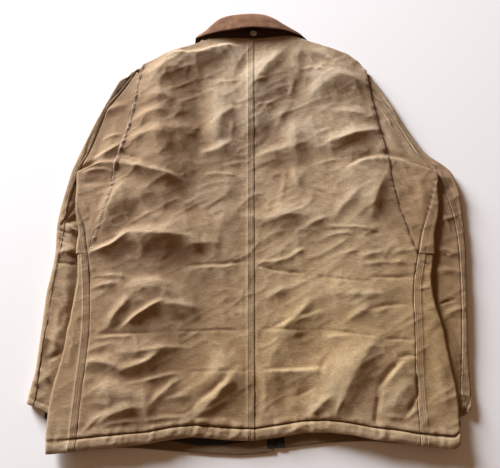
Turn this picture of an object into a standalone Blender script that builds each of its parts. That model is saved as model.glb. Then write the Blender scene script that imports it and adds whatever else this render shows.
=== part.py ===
"""Duck canvas work jacket, lying face down with its back up.

Every piece is a wall of cloth: an open surface, laid out as a grid from short tables of
sizes, that a Solidify modifier gives its thickness.  Lengths are metres.  The tables are
in millimetres: x is measured outwards from the centre back seam, y up from the back hem.
The walls lie on one another in levels, level 0 on the ground.
"""
import bpy
from mathutils import Vector

MM = 0.001

# ---------------------------------------------------------------- driving sizes
WALL = 0.004                  # quilted duck: canvas, wadding and lining sewn together
PLY_GAP = 0.0006              # air between two walls that lie on each other
SEAM_GAP = 0.0003             # between two pieces that are sewn together
LOFT = 0.002                  # how far the back stands off the fronts under it
LEVEL = WALL + PLY_GAP        # one wall lying on another
SLEEVE_LIFT = 2 * LEVEL       # the body's sides lie on a flattened sleeve
GROUND_GAP = 0.0002           # the sleeves lie this little clear of the ground
COLLAR_WALL = 0.0016          # each of the two plies of the collar
ROLL_RADIUS = 0.0022          # of the collar's fold, to the middle of its plies
RIB_WALL = 0.0022             # knitted cuffs
LINING_WALL = 0.001

HEM_DEPTH = 20 * MM           # turned hem, from its edge to its row of stitching
HEM_ROUND = 4 * MM            # its rounded edge
HEM_SWELL = 0.0012            # the hem is fuller than the cloth above it
HEM_GROOVE = 0.0010           # and its stitching sinks in
GROOVE_HALF = 5 * MM
LAP_WIDTH = 13 * MM           # felled seam: the lap and its three rows of stitching
LAP_HEIGHT = 0.0010
LAP_STEP = 2 * MM             # over which the lap's free edge drops to the cloth
SHOULDER_BAND = 30 * MM       # near the armhole's top the back comes down on to the front

SLEEVE_INNER = 235 * MM       # hidden inner edge of the flattened sleeves
UNDERARM = 325 * MM           # height of the underarm point
PLEAT_TOP = 500 * MM          # the sleeve's underarm pleat runs up to here
NECK_FRONT = 700 * MM         # where the front neckline meets the zip
ZIP_SHIFT = 36 * MM           # the front opening lies this far to the right at the hem
ZIP_GAP = 6 * MM              # between the two fronts' edges, where the zip's chain lies
ZIP_TAPE = 15 * MM            # tape on either side of the chain

# ---------------------------------------------------------------- tables, millimetres
# y, x: seams and edges of each side, from the hem upwards
SIDE_SEAM = {
    +1: [(-15, 280), (15, 281), (100, 282), (180, 286), (250, 289), (285, 293), (325, 304)],
    -1: [(-20, 303), (80, 300), (165, 295), (230, 297), (290, 303), (325, 308)],
}
SIDE_FOLD = {
    +1: [(-15, 346), (60, 352), (110, 348), (165, 340), (195, 337), (225, 330), (262, 322),
         (295, 327), (325, 334)],
    -1: [(-22, 353), (40, 355), (80, 351), (115, 345), (180, 334), (230, 330), (270, 325),
         (325, 328)],
}
ARMHOLE = {
    +1: [(325, 304), (355, 293), (390, 284), (434, 271), (470, 266), (498, 264), (540, 257),
         (605, 246), (670, 235), (700, 231)],
    -1: [(325, 308), (345, 305), (395, 292), (430, 282), (455, 276), (510, 271), (530, 265),
         (578, 255), (605, 248), (675, 239), (710, 234)],
}
SHOULDER = {
    +1: [(700, 231), (709, 233), (728, 225), (744, 211), (761, 185), (780, 141), (790, 103)],
    -1: [(710, 234), (726, 235), (737, 216), (752, 185), (771, 151), (783, 120)],
}
SLEEVE_EDGE = {
    +1: [(30, 366), (42, 369), (72, 377), (135, 380), (207, 386), (281, 392), (338, 396),
         (398, 398), (443, 397), (472, 394), (501, 381), (515, 364), (526, 343), (561, 321),
         (605, 295), (632, 283), (661, 268), (694, 250), (710, 236)],
    -1: [(47, 396), (64, 397), (84, 392), (101, 387), (189, 383), (262, 380), (300, 374),
         (340, 371), (378, 374), (418, 370), (459, 362), (501, 354), (544, 340), (587, 324),
         (632, 305), (677, 285), (701, 274), (724, 251), (731, 238)],
}
BACK_SLEEVE_SEAM = {
    +1: [(30, 352), (101, 364), (188, 374), (261, 380), (347, 384), (396, 381), (447, 371),
         (495, 355), (514, 336), (537, 317), (568, 303), (598, 287), (621, 275), (645, 256),
         (670, 237), (710, 233)],
    -1: [(47, 382), (100, 378), (261, 370), (340, 361), (398, 359), (440, 352), (486, 345),
         (516, 332), (564, 317), (595, 308), (640, 293), (662, 275), (702, 249), (726, 237)],
}
SLEEVE_PLEAT = {
    +1: [(325, 334), (354, 337), (394, 344), (435, 349), (486, 350), (500, 352)],
    -1: [(325, 329), (340, 334), (384, 332), (429, 337), (461, 338), (500, 338)],
}
NECKLINE = [(700, 0), (712, 50), (730, 78), (755, 96), (783, 103)]

# x, y: hems and the neck seam, from the centre outwards
BACK_HEM = {
    +1: [(0, 0), (20, 1), (61, 9), (95, 14), (130, 14), (164, 10), (191, 4), (248, -2),
         (281, -8)],
    -1: [(0, 0), (51, 1), (111, 7), (137, 4), (179, -4), (249, -10), (303, -16)],
}
FRONT_HEM = {
    +1: [(36, -15), (74, -9), (112, -5), (181, -1), (216, -2), (300, -9), (346, -13)],
    -1: [(-36, -19), (8, -23), (51, -23), (128, -18), (180, -14), (240, -11), (300, -16),
         (353, -21)],
}
BACK_NECK = {
    +1: [(0, 788), (44, 792), (75, 796), (103, 790)],
    -1: [(0, 788), (30, 791), (76, 791), (120, 781)],
}
SLEEVE_END = {+1: [(230, 34), (300, 38), (352, 48), (377, 62)],
              -1: [(230, 22), (300, 30), (362, 47), (397, 62)]}

# The back's largest folds: each a soft ridge from (x1, y1) to (x2, y2), half as wide as
# spread on either side and as high as rise; x is negative on the left.
#     x1    y1    x2    y2  spread  rise
BACK_FOLDS = [
    (-262, 338, -205, 366, 34, 3.0),
    (-215, 368, -105, 362, 38, 4.5),
    (-245, 180, -165, 246, 32, 4.0),
    (-262, 122, -175, 150, 26, 2.5),
    (-262, 516, -120, 476, 26, 3.0),
    (-115, 478, -12, 512, 26, 2.5),
    (-215, 560, -130, 600, 40, 3.0),
    (-200, 728, -120, 690, 34, 3.5),
    (-120, 752, -40, 772, 22, 2.5),
    (-205, 66, -92, 44, 24, 2.5),
    (-110, 60, -25, 125, 22, 2.5),
    (15, 668, 105, 748, 30, 3.5),
    (95, 625, 205, 700, 34, 3.0),
    (110, 548, 235, 505, 34, 3.5),
    (20, 540, 100, 556, 30, 2.5),
    (30, 395, 130, 420, 34, 2.5),
    (200, 448, 258, 402, 24, 2.5),
    (30, 205, 120, 252, 30, 3.0),
    (214, 52, 228, 118, 26, 3.5),
    (126, 60, 190, 150, 34, 3.0),
]

# The collar, section by section from the left front end over the back of the neck to the
# right front end.  Each section runs from the neck seam over the roll to the fall's edge.
#    neck seam x, y, z    roll x, y, z        edge x, y, z
COLLAR = [
    ((-12, 706, 6.6), (-12, 724, 4.3), (-26, 650, 2.0)),
    ((-44, 717, 6.6), (-40, 734, 4.3), (-80, 645, 2.0)),
    ((-74, 740, 6.6), (-65, 755, 4.3), (-120, 692, 2.0)),
    ((-92, 766, 6.6), (-82, 777, 4.3), (-134, 750, 2.0)),
    ((-99, 785, 7.4), (-94, 794, 4.2), (-130, 773, 1.95)),
    ((-109, 790, 9.8), (-107, 799, 6.8), (-123, 791, 4.4)),
    ((-110, 789.4, 12.5), (-113, 802, 13.0), (-121, 793, 13.4)),
    ((-96, 791.4, 14.0), (-99, 808, 18.5), (-103, 797, 20.0)),
    ((-72, 792.4, 14.0), (-74, 836, 22.0), (-70, 802, 26.0)),
    ((-40, 792.4, 14.0), (-44, 840, 26.0), (-42, 801, 32.0)),
    ((-4, 790.4, 14.0), (-3, 843, 28.0), (-5, 808, 34.0)),
    ((30, 793.4, 14.0), (32, 840, 26.0), (31, 804, 32.0)),
    ((60, 797.4, 14.0), (60, 821, 22.0), (60, 806, 27.0)),
    ((83, 797.6, 14.0), (84, 809, 18.5), (86, 801, 20.0)),
    ((96, 793.4, 12.5), (97, 804, 13.0), (102, 797, 14.0)),
    ((103, 795, 9.8), (101, 802, 6.8), (112, 795, 4.5)),
    ((97, 787, 7.4), (91, 795, 4.2), (123, 774, 1.95)),
    ((92, 766, 6.6), (82, 776, 4.3), (130, 750, 2.0)),
    ((74, 740, 6.6), (65, 755, 4.3), (120, 692, 2.0)),
    ((46, 717, 6.6), (42, 734, 4.3), (86, 645, 2.0)),
    ((14, 706, 6.6), (14, 724, 4.3), (32, 650, 2.0)),
]

# how much further down the sleeve's lower wall reaches than its upper one, metres
LOWER_END = {+1: 15 * MM, -1: 2 * MM}

# the back's whole outer edge: side seam, armhole, then shoulder
BODY_EDGE = {side: SIDE_SEAM[side] + ARMHOLE[side][1:] + SHOULDER[side][1:]
             for side in (+1, -1)}

# where one wall climbs on to what lies under it: between these x (from the middle), and
# between these y; folds are kept off the back's edges in the same way
FRONT_ON_SLEEVE = ((200, 230), (580, 500))
FRONT_ON_COLLAR = ((200, 160), (600, 634))
BACK_ON_SLEEVE = ((90, 210), (620, 500))
BACK_ON_COLLAR = ((240, 180), (560, 610))
FOLD_FIELD = ((300, 260), (30, 60))
SLEEVE_LEVEL = (620, 500)         # the sleeve's top leg rises between these y

# rows of the grids, millimetres up from the hem
BODY_ROWS = [58, 94, 130, 166, 202, 238, 270, 298, 325, 329, 358, 392, 426, 460, 497, 532,
             566, 600, 634, 668, 700]
SHOULDER_ROWS = [711, 733, 756]
SLEEVE_ROWS = [80, 118, 160, 205, 257, 309, 331, 358, 385, 420, 460, 497, 532, 566, 600, 634,
               668, 700]
UNDER_TIP = {+1: 660, -1: 718}    # the sleeve's under piece runs out here at the armhole
UPPER_TIP = {+1: 708, -1: 727}    # and its upper piece here at the shoulder

CANVAS = (0.42, 0.29, 0.16)
CORDUROY = (0.23, 0.12, 0.06)
BROWN = (0.05, 0.028, 0.018)
BLACK = (0.012, 0.012, 0.013)
STEEL = (0.45, 0.44, 0.42)


# ---------------------------------------------------------------- small tools
def smooth(t):
    """0 below 0, 1 above 1, and an even S between."""
    t = min(1.0, max(0.0, t))
    return t * t * (3 - 2 * t)


def mix(a, b, t):
    return a + (b - a) * t


def ramp(at, start, end):
    """0 at start (millimetres) and beyond it, 1 at end."""
    return smooth((at / MM - start) / (end - start))


def climb(step, x, y):
    """0 to 1: how far a wall has climbed a step, which is the same on left and right."""
    across, along = step
    return ramp(abs(x), *across) * ramp(y, *along)


def read(table, at):
    """The value at a place (metres) of a table in millimetres, eased through its rows."""
    at /= MM
    if at <= table[0][0]:
        return table[0][1] * MM
    if at >= table[-1][0]:
        return table[-1][1] * MM
    last = next(k for k in range(1, len(table)) if table[k][0] >= at)
    (a0, v0), (a1, v1) = table[last - 1], table[last]

    def slope(k):
        low, high = table[max(k - 1, 0)], table[min(k + 1, len(table) - 1)]
        return (high[1] - low[1]) / (high[0] - low[0])

    span = a1 - a0
    t = (at - a0) / span
    ease_in = t * t * (3 - 2 * t)
    bow = span * t * (1 - t) * (slope(last - 1) * (1 - t) - slope(last) * t)
    return (mix(v0, v1, ease_in) + bow) * MM


def material(name, colour, rough=0.9, metal=0.0):
    made = bpy.data.materials.new(name)
    made.use_nodes = True
    shader = made.node_tree.nodes["Principled BSDF"]
    shader.inputs["Base Color"].default_value = (*colour, 1)
    shader.inputs["Roughness"].default_value = rough
    shader.inputs["Metallic"].default_value = metal
    return made


def cloth(name, rows, finish, wall=WALL, side=0.0, faces=None):
    """A wall of cloth on a grid of points, rows by columns.

    side is -1 to 1: which way the wall lies from the grid.  faces(i, j) says whether the
    grid has a face above row i and right of column j.
    """
    mesh = bpy.data.meshes.new(name)
    wide = len(rows[0])
    quads = [(i * wide + j, i * wide + j + 1, (i + 1) * wide + j + 1, (i + 1) * wide + j)
             for i in range(len(rows) - 1) for j in range(wide - 1)
             if faces is None or faces(i, j)]
    used = sorted({corner for quad in quads for corner in quad})
    number = {old: new for new, old in enumerate(used)}
    points = [rows[k // wide][k % wide] for k in used]
    mesh.from_pydata(points, [], [[number[c] for c in quad] for quad in quads])
    mesh.update()
    mesh.materials.append(finish)
    piece = bpy.data.objects.new(name, mesh)
    bpy.context.collection.objects.link(piece)
    thick = piece.modifiers.new("wall", "SOLIDIFY")
    thick.thickness = wall
    thick.offset = side
    thick.use_even_offset = True
    return piece


# ---------------------------------------------------------------- how the walls lie
def front_height(x, y):
    """The lower wall, lifted by the sleeve and by the collar's end that lie under it."""
    return (WALL / 2 + SLEEVE_LIFT * climb(FRONT_ON_SLEEVE, x, y)
            + LEVEL * climb(FRONT_ON_COLLAR, x, y))


def fold_rise(x, y):
    """Height of the back's large folds at a point."""
    rise = 0.0
    for x1, y1, x2, y2, spread, height in BACK_FOLDS:
        along = Vector(((x2 - x1) * MM, (y2 - y1) * MM))
        away = Vector((x - x1 * MM, y - y1 * MM))
        t = min(1.0, max(0.0, away.dot(along) / along.length_squared))
        off = (away - along * t).length / (spread * MM)
        taper = 0.35 + 0.65 * smooth(4 * t * (1 - t))
        rise += height * MM * taper * smooth(1 - off)
    return rise


def back_height(x, y):
    """The upper wall: eased over the sleeves and the collar, and raised in folds."""
    return (WALL / 2 + LEVEL + LOFT + SLEEVE_LIFT * climb(BACK_ON_SLEEVE, x, y)
            + LEVEL * climb(BACK_ON_COLLAR, x, y) + climb(FOLD_FIELD, x, y) * fold_rise(x, y))


def hem_rise(above):
    """The hem's fullness, and its groove, this far above its edge."""
    swell = HEM_SWELL * smooth(above / HEM_ROUND) * smooth((HEM_DEPTH - above) / GROOVE_HALF)
    groove = HEM_GROOVE * smooth(1 - abs(above - HEM_DEPTH) / GROOVE_HALF)
    return swell - groove


def zip_line(y):
    """Where the fronts' edges meet: the opening lies askew to the right at the hem."""
    return ZIP_SHIFT * (1 - y / NECK_FRONT)


HEM_STEPS = [0, HEM_ROUND, 0.7 * HEM_DEPTH, HEM_DEPTH, HEM_DEPTH + 1.2 * GROOVE_HALF]


# ---------------------------------------------------------------- body
def body_rows(hem, top_rows):
    """Row heights for a column whose hem is at this height."""
    return [hem + step for step in HEM_STEPS] + [row * MM for row in BODY_ROWS + top_rows]


def back_panel(name, side, finish):
    """Half of the back, from the centre seam out to the side seam, armhole and shoulder."""
    heights = body_rows(0.0, SHOULDER_ROWS)
    lap = [0.0, LAP_STEP / 4, LAP_WIDTH, LAP_WIDTH + LAP_STEP] if side < 0 else [0.0]
    outline = BODY_EDGE[side]
    count = 7
    grid = []
    for i in range(len(heights) + 1):
        at_neck = i == len(heights)
        y_side = outline[-1][0] * MM if at_neck else heights[i]
        reach = read(outline, y_side) - SEAM_GAP
        inner = lap + [mix(lap[-1], reach, (k / count) ** 0.95) for k in range(1, count + 1)]
        row = []
        for j, x in enumerate(inner):
            hem = read(BACK_HEM[side], x)
            if at_neck:
                y = read(BACK_NECK[side], x)
            elif i < len(HEM_STEPS):
                y = hem + HEM_STEPS[i]
            else:
                y = heights[i]
            edge = read(outline, y) - SEAM_GAP
            if j == len(inner) - 1 and not at_neck:
                x = edge
            z = back_height(side * x, y) + hem_rise(y - hem)
            if side < 0 and j < 3:
                z += LAP_HEIGHT
            above_armhole = smooth((y - NECK_FRONT) / SHOULDER_BAND + 1 / 3)
            near_edge = smooth((x - edge) / SHOULDER_BAND + 1)
            z -= 0.9 * LOFT * above_armhole * near_edge
            row.append((side * (x + SEAM_GAP / 2), y, z))
        grid.append(row)
    return cloth(name, grid, finish)


def front_panel(name, side, finish):
    """A front, from the zip under the body, round the side fold and up to the side seam."""
    heights = body_rows(0.0, SHOULDER_ROWS)
    neck = 783 * MM
    grid = []
    for i, y_row in enumerate(heights + [neck]):
        inner = read(NECKLINE, y_row) if y_row > NECK_FRONT else side * zip_line(y_row)
        if y_row <= NECK_FRONT:
            inner += ZIP_GAP / 2
        y_side = y_row
        if i < len(HEM_STEPS):
            y_side += read(FRONT_HEM[side], 0.30)
        fold = read(SIDE_FOLD[side], y_side)
        seam = read(BODY_EDGE[side], y_side) + SEAM_GAP
        top = WALL / 2 + LEVEL + LOFT + SLEEVE_LIFT
        low = WALL / 2 + SLEEVE_LIFT
        radius = (top - low) / 2
        outer = fold - radius if y_row <= UNDERARM else read(BODY_EDGE[side], y_row) - SEAM_GAP
        foot, head = FRONT_ON_SLEEVE[0]
        ramp_foot = min((foot - 2) * MM, mix(inner, outer, 0.75))
        ramp_head = min((head + 1.5) * MM, mix(inner, outer, 0.9))
        flat = [mix(inner, ramp_foot, k / 4) for k in range(5)]
        flat += [ramp_head, mix(ramp_head, outer, 0.5), outer]
        row = []
        for x in flat:
            y = y_row
            hem = read(FRONT_HEM[side], x)
            if i < len(HEM_STEPS):
                y = hem + HEM_STEPS[i]
            row.append((side * x, y, front_height(side * x, y)))
        # round the fold, then back in over the top to the side seam, whose lap is raised
        wrap = [(fold - 0.1 * radius, low + 0.6 * radius),
                (fold - 0.1 * radius, top - 0.6 * radius), (outer, top),
                (min(seam + LAP_WIDTH + LAP_STEP, outer - LAP_STEP / 2), top),
                (min(seam + LAP_WIDTH, outer - LAP_STEP), top + LAP_HEIGHT),
                (seam, top + LAP_HEIGHT)]
        for x, z in wrap:
            y = y_row
            hem = read(FRONT_HEM[side], x)
            if i < len(HEM_STEPS):
                y = hem + HEM_STEPS[i]
            over = hem_rise(y - hem) * smooth((z - low) / (top - low))
            row.append((side * x, y, z + over))
        grid.append(row)
    underarm_row = len(HEM_STEPS) + BODY_ROWS.index(325)
    last_flat = len(flat) - 1
    return cloth(name, grid, finish, faces=lambda i, j: j < last_flat or i < underarm_row)


# ---------------------------------------------------------------- sleeves
def sleeve_rows(side):
    return sorted(SLEEVE_ROWS + [UNDER_TIP[side], UPPER_TIP[side]])


def sleeve_top(y):
    """Height of the sleeve's upper leg, level with the back at the armhole."""
    lifted = WALL / 2 + LEVEL + LOFT + SLEEVE_LIFT
    resting = WALL / 2 + LEVEL
    return mix(resting, lifted, ramp(y, *SLEEVE_LEVEL))


def under_sleeve(name, side, finish):
    """The sleeve's under piece: out from the armhole, folded twice under itself along the
    underarm, and down to the wrist; below the underarm only its lowest leg goes on."""
    rows = [y * MM for y in sleeve_rows(side) if y <= UNDER_TIP[side]]
    low = WALL / 2 + LEVEL
    grid = []
    for y_row in [0.0] + rows:
        at_end = y_row == 0.0
        y_table = read(SLEEVE_END[side], 0.36) if at_end else y_row
        seam = read(BACK_SLEEVE_SEAM[side], y_table)
        seam -= SEAM_GAP * (1 if y_row <= PLEAT_TOP else 3)
        arm = read(BODY_EDGE[side], max(y_row, UNDERARM)) + SEAM_GAP
        pleat = read(SLEEVE_PLEAT[side], y_row)
        high = sleeve_top(y_row)
        middle = (high + low) / 2
        radius = (high - low) / 4
        hidden = arm + 6 * MM
        if y_row < UNDERARM:
            reach = [mix(SLEEVE_INNER, hidden, k / 9) for k in range(10)]
            section = [(x, low) for x in reach]
        elif y_row <= PLEAT_TOP:
            section = [(mix(arm, pleat - radius, k / 3), high) for k in range(4)]
            section += [(pleat, high - radius), (pleat - radius, middle),
                        (mix(hidden + radius, pleat - radius, 0.5), middle),
                        (hidden + radius, middle), (hidden, middle - radius),
                        (hidden + radius, low)]
        else:
            shares = [0, 0.2, 0.38, 0.54, 0.6, 0.64, 0.68, 0.72, 0.76, 0.8]
            clear = low + PLY_GAP / 2
            section = [(mix(arm, seam, s), mix(high, clear, smooth((s - 0.4) / 0.4)))
                       for s in shares]
        last_x, last_z = section[-1]
        section += [(mix(last_x, seam, k / 3), last_z) for k in range(1, 4)]
        grid.append([(side * x, read(SLEEVE_END[side], x) if at_end else y_row, z)
                     for x, z in section])
    slit = 1 + rows.index(309 * MM)
    return cloth(name, grid, finish, faces=lambda i, j: i != slit or j >= 9)


def upper_sleeve(name, side, finish):
    """The sleeve's upper piece: from the back seam round the outer fold, and in under the
    sleeve to the front armhole, or to the hidden underarm seam lower down."""
    rows = [y * MM for y in sleeve_rows(side)]
    low, high = WALL / 2 + GROUND_GAP, WALL / 2 + LEVEL
    radius = (high - low) / 2
    grid = []
    for y_row in [0.0] + rows:
        at_end = y_row == 0.0
        y_table = read(SLEEVE_END[side], 0.36) if at_end else y_row
        edge = read(SLEEVE_EDGE[side], y_table)
        seam = read(BACK_SLEEVE_SEAM[side], y_table) + SEAM_GAP
        if y_row > UNDERARM:
            seam = max(seam, read(BODY_EDGE[side], y_row) + SEAM_GAP)
        turn = max(edge - radius, seam + 0.8 * MM)
        inner = SLEEVE_INNER
        if y_row > PLEAT_TOP:
            inner = read(BODY_EDGE[side], y_row) + SEAM_GAP
        bulge = max(edge - 0.1 * radius, turn + 0.4 * MM)
        section = [(seam, high), (turn, high), (bulge, low + 1.6 * radius),
                   (bulge, low + 0.4 * radius), (turn, low)]
        section += [(mix(turn, inner, k / 4), low) for k in range(1, 5)]
        row = []
        for j, (x, z) in enumerate(section):
            y = y_row
            if at_end:
                y = read(SLEEVE_END[side], x) - LOWER_END[side] * min(1, j / 3)
            row.append((side * x, y, z))
        grid.append(row)
    return cloth(name, grid, finish)


def rib_cuff(name, side, finish):
    """Knitted storm cuff that shows past the sleeve's end: a flattened tube."""
    low, high = 1.8 * MM, WALL / 2 + LEVEL + 0.4 * MM
    inner, outer = 268 * MM, {+1: 356, -1: 365}[side] * MM
    middle, radius = (low + high) / 2, (high - low) / 2
    ring = [(inner + radius, low)]
    ring += [(mix(inner + radius, outer - radius, k / 4), low) for k in range(1, 5)]
    ring += [(outer, middle)]
    ring += [(mix(outer - radius, inner + radius, k / 4), high) for k in range(5)]
    ring += [(inner, middle), (inner + radius, low)]
    reach = 9 * MM
    grid = []
    for down in (0.0, 0.5, 1.0):
        row = []
        for x, z in ring:
            end = read(SLEEVE_END[side], x) - LOWER_END[side] - 1 * MM
            row.append((side * x, end - down * reach, z))
        grid.append(row[:-1] + [row[0]])
    return closed_tube(name, grid, finish, RIB_WALL)


def closed_tube(name, rings, finish, wall):
    """A tube through closed rings of points, with a wall and open ends."""
    count = len(rings[0]) - 1
    points = [point for ring in rings for point in ring[:-1]]
    quads = [(i * count + j, i * count + (j + 1) % count,
              (i + 1) * count + (j + 1) % count, (i + 1) * count + j)
             for i in range(len(rings) - 1) for j in range(count)]
    mesh = bpy.data.meshes.new(name)
    mesh.from_pydata(points, [], quads)
    mesh.materials.append(finish)
    piece = bpy.data.objects.new(name, mesh)
    bpy.context.collection.objects.link(piece)
    thick = piece.modifiers.new("wall", "SOLIDIFY")
    thick.thickness = wall
    thick.offset = 0
    return piece


# ---------------------------------------------------------------- collar, lining, zip
def shell(name, grid, finish, low, high):
    """A closed wall between two offsets of a grid, along its averaged normals."""
    tall, wide = len(grid), len(grid[0])

    def normal(i, j):
        up = grid[min(i + 1, tall - 1)][j] - grid[max(i - 1, 0)][j]
        across = grid[i][min(j + 1, wide - 1)] - grid[i][max(j - 1, 0)]
        return across.cross(up).normalized()

    layers = [[grid[i][j] + normal(i, j) * away for i in range(tall) for j in range(wide)]
              for away in (high, low)]
    size = tall * wide
    faces = []
    for i in range(tall - 1):
        for j in range(wide - 1):
            a, b, c, d = (i * wide + j, i * wide + j + 1,
                          (i + 1) * wide + j + 1, (i + 1) * wide + j)
            faces += [(a, b, c), (a, c, d)]
            faces += [(c + size, b + size, a + size), (d + size, c + size, a + size)]
    rim = [j for j in range(wide)]
    rim += [i * wide + wide - 1 for i in range(1, tall)]
    rim += [(tall - 1) * wide + j for j in range(wide - 2, -1, -1)]
    rim += [i * wide for i in range(tall - 2, 0, -1)]
    for k, a in enumerate(rim):
        b = rim[(k + 1) % len(rim)]
        faces.append((b, a, a + size, b + size))
    mesh = bpy.data.meshes.new(name)
    mesh.from_pydata(layers[0] + layers[1], [], faces)
    mesh.materials.append(finish)
    piece = bpy.data.objects.new(name, mesh)
    bpy.context.collection.objects.link(piece)
    return piece


def collar_grid():
    """The middle of the folded collar: stand, roll and fall, section by section."""
    grid = []
    for section in COLLAR:
        neck, roll, edge = (Vector(point) * MM for point in section)
        out = (roll - (neck + edge) / 2).normalized()
        over = (edge - neck)
        over = (over - out * over.dot(out)).normalized()
        open_by = ROLL_RADIUS
        stand_end = roll - out * open_by - over * open_by
        fall_end = roll - out * open_by + over * open_by
        grid.append([neck, neck.lerp(stand_end, 0.5), stand_end, roll, fall_end,
                     fall_end.lerp(edge, 0.5), edge])
    return grid


def collar_ply(name, finish, outer):
    """One ply of the collar: the corduroy outside of the roll, or the under collar in it."""
    near, far = SEAM_GAP / 2, SEAM_GAP / 2 + COLLAR_WALL
    low, high = (near, far) if outer else (-far, -near)
    return shell(name, collar_grid(), finish, low, high)


def lining_strip(name, finish):
    """The lining that shows in the hem's mouth, on the inside of the back."""
    low, high = -164, 12
    grid = []
    for y in (None, 12, 36, 60):
        row = []
        for k in range(12):
            x = mix(low, high, k / 11) * MM
            side = 1 if x > 0 else -1
            hem = read(BACK_HEM[side], abs(x)) - 6.5 * MM
            row.append((x, hem if y is None else y * MM, WALL + 0.4 * MM + LINING_WALL / 2))
        grid.append(row)
    return cloth(name, grid, finish, LINING_WALL)


def front_zip(finish):
    """Plain zip: a chain between the fronts' edges on a tape that lies inside them."""
    tape, chain = 0.5 * MM, 1.2 * MM
    grid = []
    for k in range(13):
        y = mix(-0.012, 0.690, k / 12)
        x = zip_line(y)
        # the tape steps down to the chain between the fronts' edges
        lift = LEVEL * climb(FRONT_ON_COLLAR, x, y)
        high = WALL + 0.8 * MM + lift
        half = ZIP_GAP / 2 - 1.8 * MM
        grid.append([(x + s * w, y, h) for s, w, h in (
            (-1, ZIP_TAPE, high), (-1, half + 1 * MM, high), (-1, half, high - chain),
            (1, half, high - chain), (1, half + 1 * MM, high), (1, ZIP_TAPE, high))])
    return cloth("front_zip", grid, finish, tape)


def hood_snap(finish):
    """Press stud for a hood, on the collar's stand at the centre back."""
    mesh = bpy.data.meshes.new("hood_snap")
    piece = bpy.data.objects.new("hood_snap", mesh)
    bpy.context.collection.objects.link(piece)
    # radius, height: the base, the domed cap and its sunk centre, turned about the axis
    profile = [(0.0, 0.0), (7.0, 0.0), (7.6, 0.6), (7.4, 1.4), (5.6, 2.4), (3.4, 2.6),
               (2.8, 1.8), (0.0, 1.7)]
    points = [(radius * MM, 0, height * MM) for radius, height in profile]
    mesh.from_pydata(points, [(k, k + 1) for k in range(len(points) - 1)], [])
    mesh.materials.append(finish)
    turn = piece.modifiers.new("turn", "SCREW")
    turn.steps = 20
    turn.render_steps = 20
    turn.use_merge_vertices = True
    turn.merge_threshold = 0.00001
    turn.use_normal_calculate = True
    return piece


# ---------------------------------------------------------------- the jacket
def clear_scene():
    for old in list(bpy.data.objects):
        bpy.data.objects.remove(old)


def centre_on_ground(pieces):
    """Hang the pieces on an empty that puts their box's bottom centre at the origin."""
    bpy.context.view_layer.update()
    graph = bpy.context.evaluated_depsgraph_get()
    corners = []
    for piece in pieces:
        ready = piece.evaluated_get(graph)
        corners += [piece.matrix_world @ vertex.co for vertex in ready.data.vertices]
    low = [min(c[axis] for c in corners) for axis in range(3)]
    high = [max(c[axis] for c in corners) for axis in range(3)]
    root = bpy.data.objects.new("jacket", None)
    bpy.context.collection.objects.link(root)
    root.location = (-(low[0] + high[0]) / 2, -(low[1] + high[1]) / 2, -low[2])
    for piece in pieces:
        piece.parent = root


def main():
    clear_scene()
    canvas = material("canvas", CANVAS)
    corduroy = material("corduroy", CORDUROY)
    brown = material("under_collar", BROWN)
    lining = material("lining", BLACK, 0.5)
    rib = material("rib_knit", BLACK)
    steel = material("steel", STEEL, 0.35, 1.0)

    pieces = []
    for side, hand in ((-1, "left"), (+1, "right")):
        pieces += [back_panel("back_" + hand, side, canvas),
                   front_panel("front_" + hand, side, canvas),
                   under_sleeve("under_sleeve_" + hand, side, canvas),
                   upper_sleeve("upper_sleeve_" + hand, side, canvas),
                   rib_cuff("rib_cuff_" + hand, side, rib)]
    pieces += [collar_ply("upper_collar", corduroy, True),
               collar_ply("under_collar", brown, False),
               lining_strip("lining", lining),
               front_zip(lining)]
    snap = hood_snap(steel)
    snap.location = (-0.001, 0.803, 0.0190)
    snap.rotation_euler = (0.25, 0, 0)
    pieces.append(snap)
    centre_on_ground(pieces)


main()
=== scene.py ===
"""Duck canvas work jacket, lying face down with its back up: how it looks.

Every piece of cloth is a thin wall on the form of its CAD solid.  A piece is laid out as a
grid of points, read off the solid row by row, then creased by listed tables, and given
its two faces and a rounded edge.  Lengths are millimetres in the jacket's own plane: x from
the centre back seam to the wearer's right, y up from the back hem, z up from the ground.
Each left-hand piece is worked out as if it were a right-hand one, and turned over at the end.
"""
import math

import bmesh
import bpy
import numpy as np
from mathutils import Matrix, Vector
from mathutils.bvhtree import BVHTree


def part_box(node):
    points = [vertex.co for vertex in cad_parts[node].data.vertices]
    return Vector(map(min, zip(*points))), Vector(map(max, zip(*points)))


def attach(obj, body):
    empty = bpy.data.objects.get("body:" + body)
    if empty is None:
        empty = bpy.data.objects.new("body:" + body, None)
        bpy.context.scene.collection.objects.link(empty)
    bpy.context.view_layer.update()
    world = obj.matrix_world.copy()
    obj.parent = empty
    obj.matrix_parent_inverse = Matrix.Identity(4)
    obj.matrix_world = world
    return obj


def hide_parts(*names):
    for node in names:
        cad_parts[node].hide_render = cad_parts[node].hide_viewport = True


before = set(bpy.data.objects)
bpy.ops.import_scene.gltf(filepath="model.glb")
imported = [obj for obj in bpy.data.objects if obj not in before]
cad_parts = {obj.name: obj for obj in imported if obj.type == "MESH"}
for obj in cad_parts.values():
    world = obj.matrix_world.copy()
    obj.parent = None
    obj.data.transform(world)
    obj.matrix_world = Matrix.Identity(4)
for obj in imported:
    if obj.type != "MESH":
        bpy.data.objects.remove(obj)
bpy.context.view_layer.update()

MM = 0.001
HEM_DROP = 0.0165  # the back's lowest corner, below the hem's middle
ORIGIN = np.array([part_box("back_left")[1][0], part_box("back_left")[0][1] + HEM_DROP, 0.0])
HANDS = {-1: "left", 1: "right"}  # what differs from side to side is kept in this way

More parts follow.
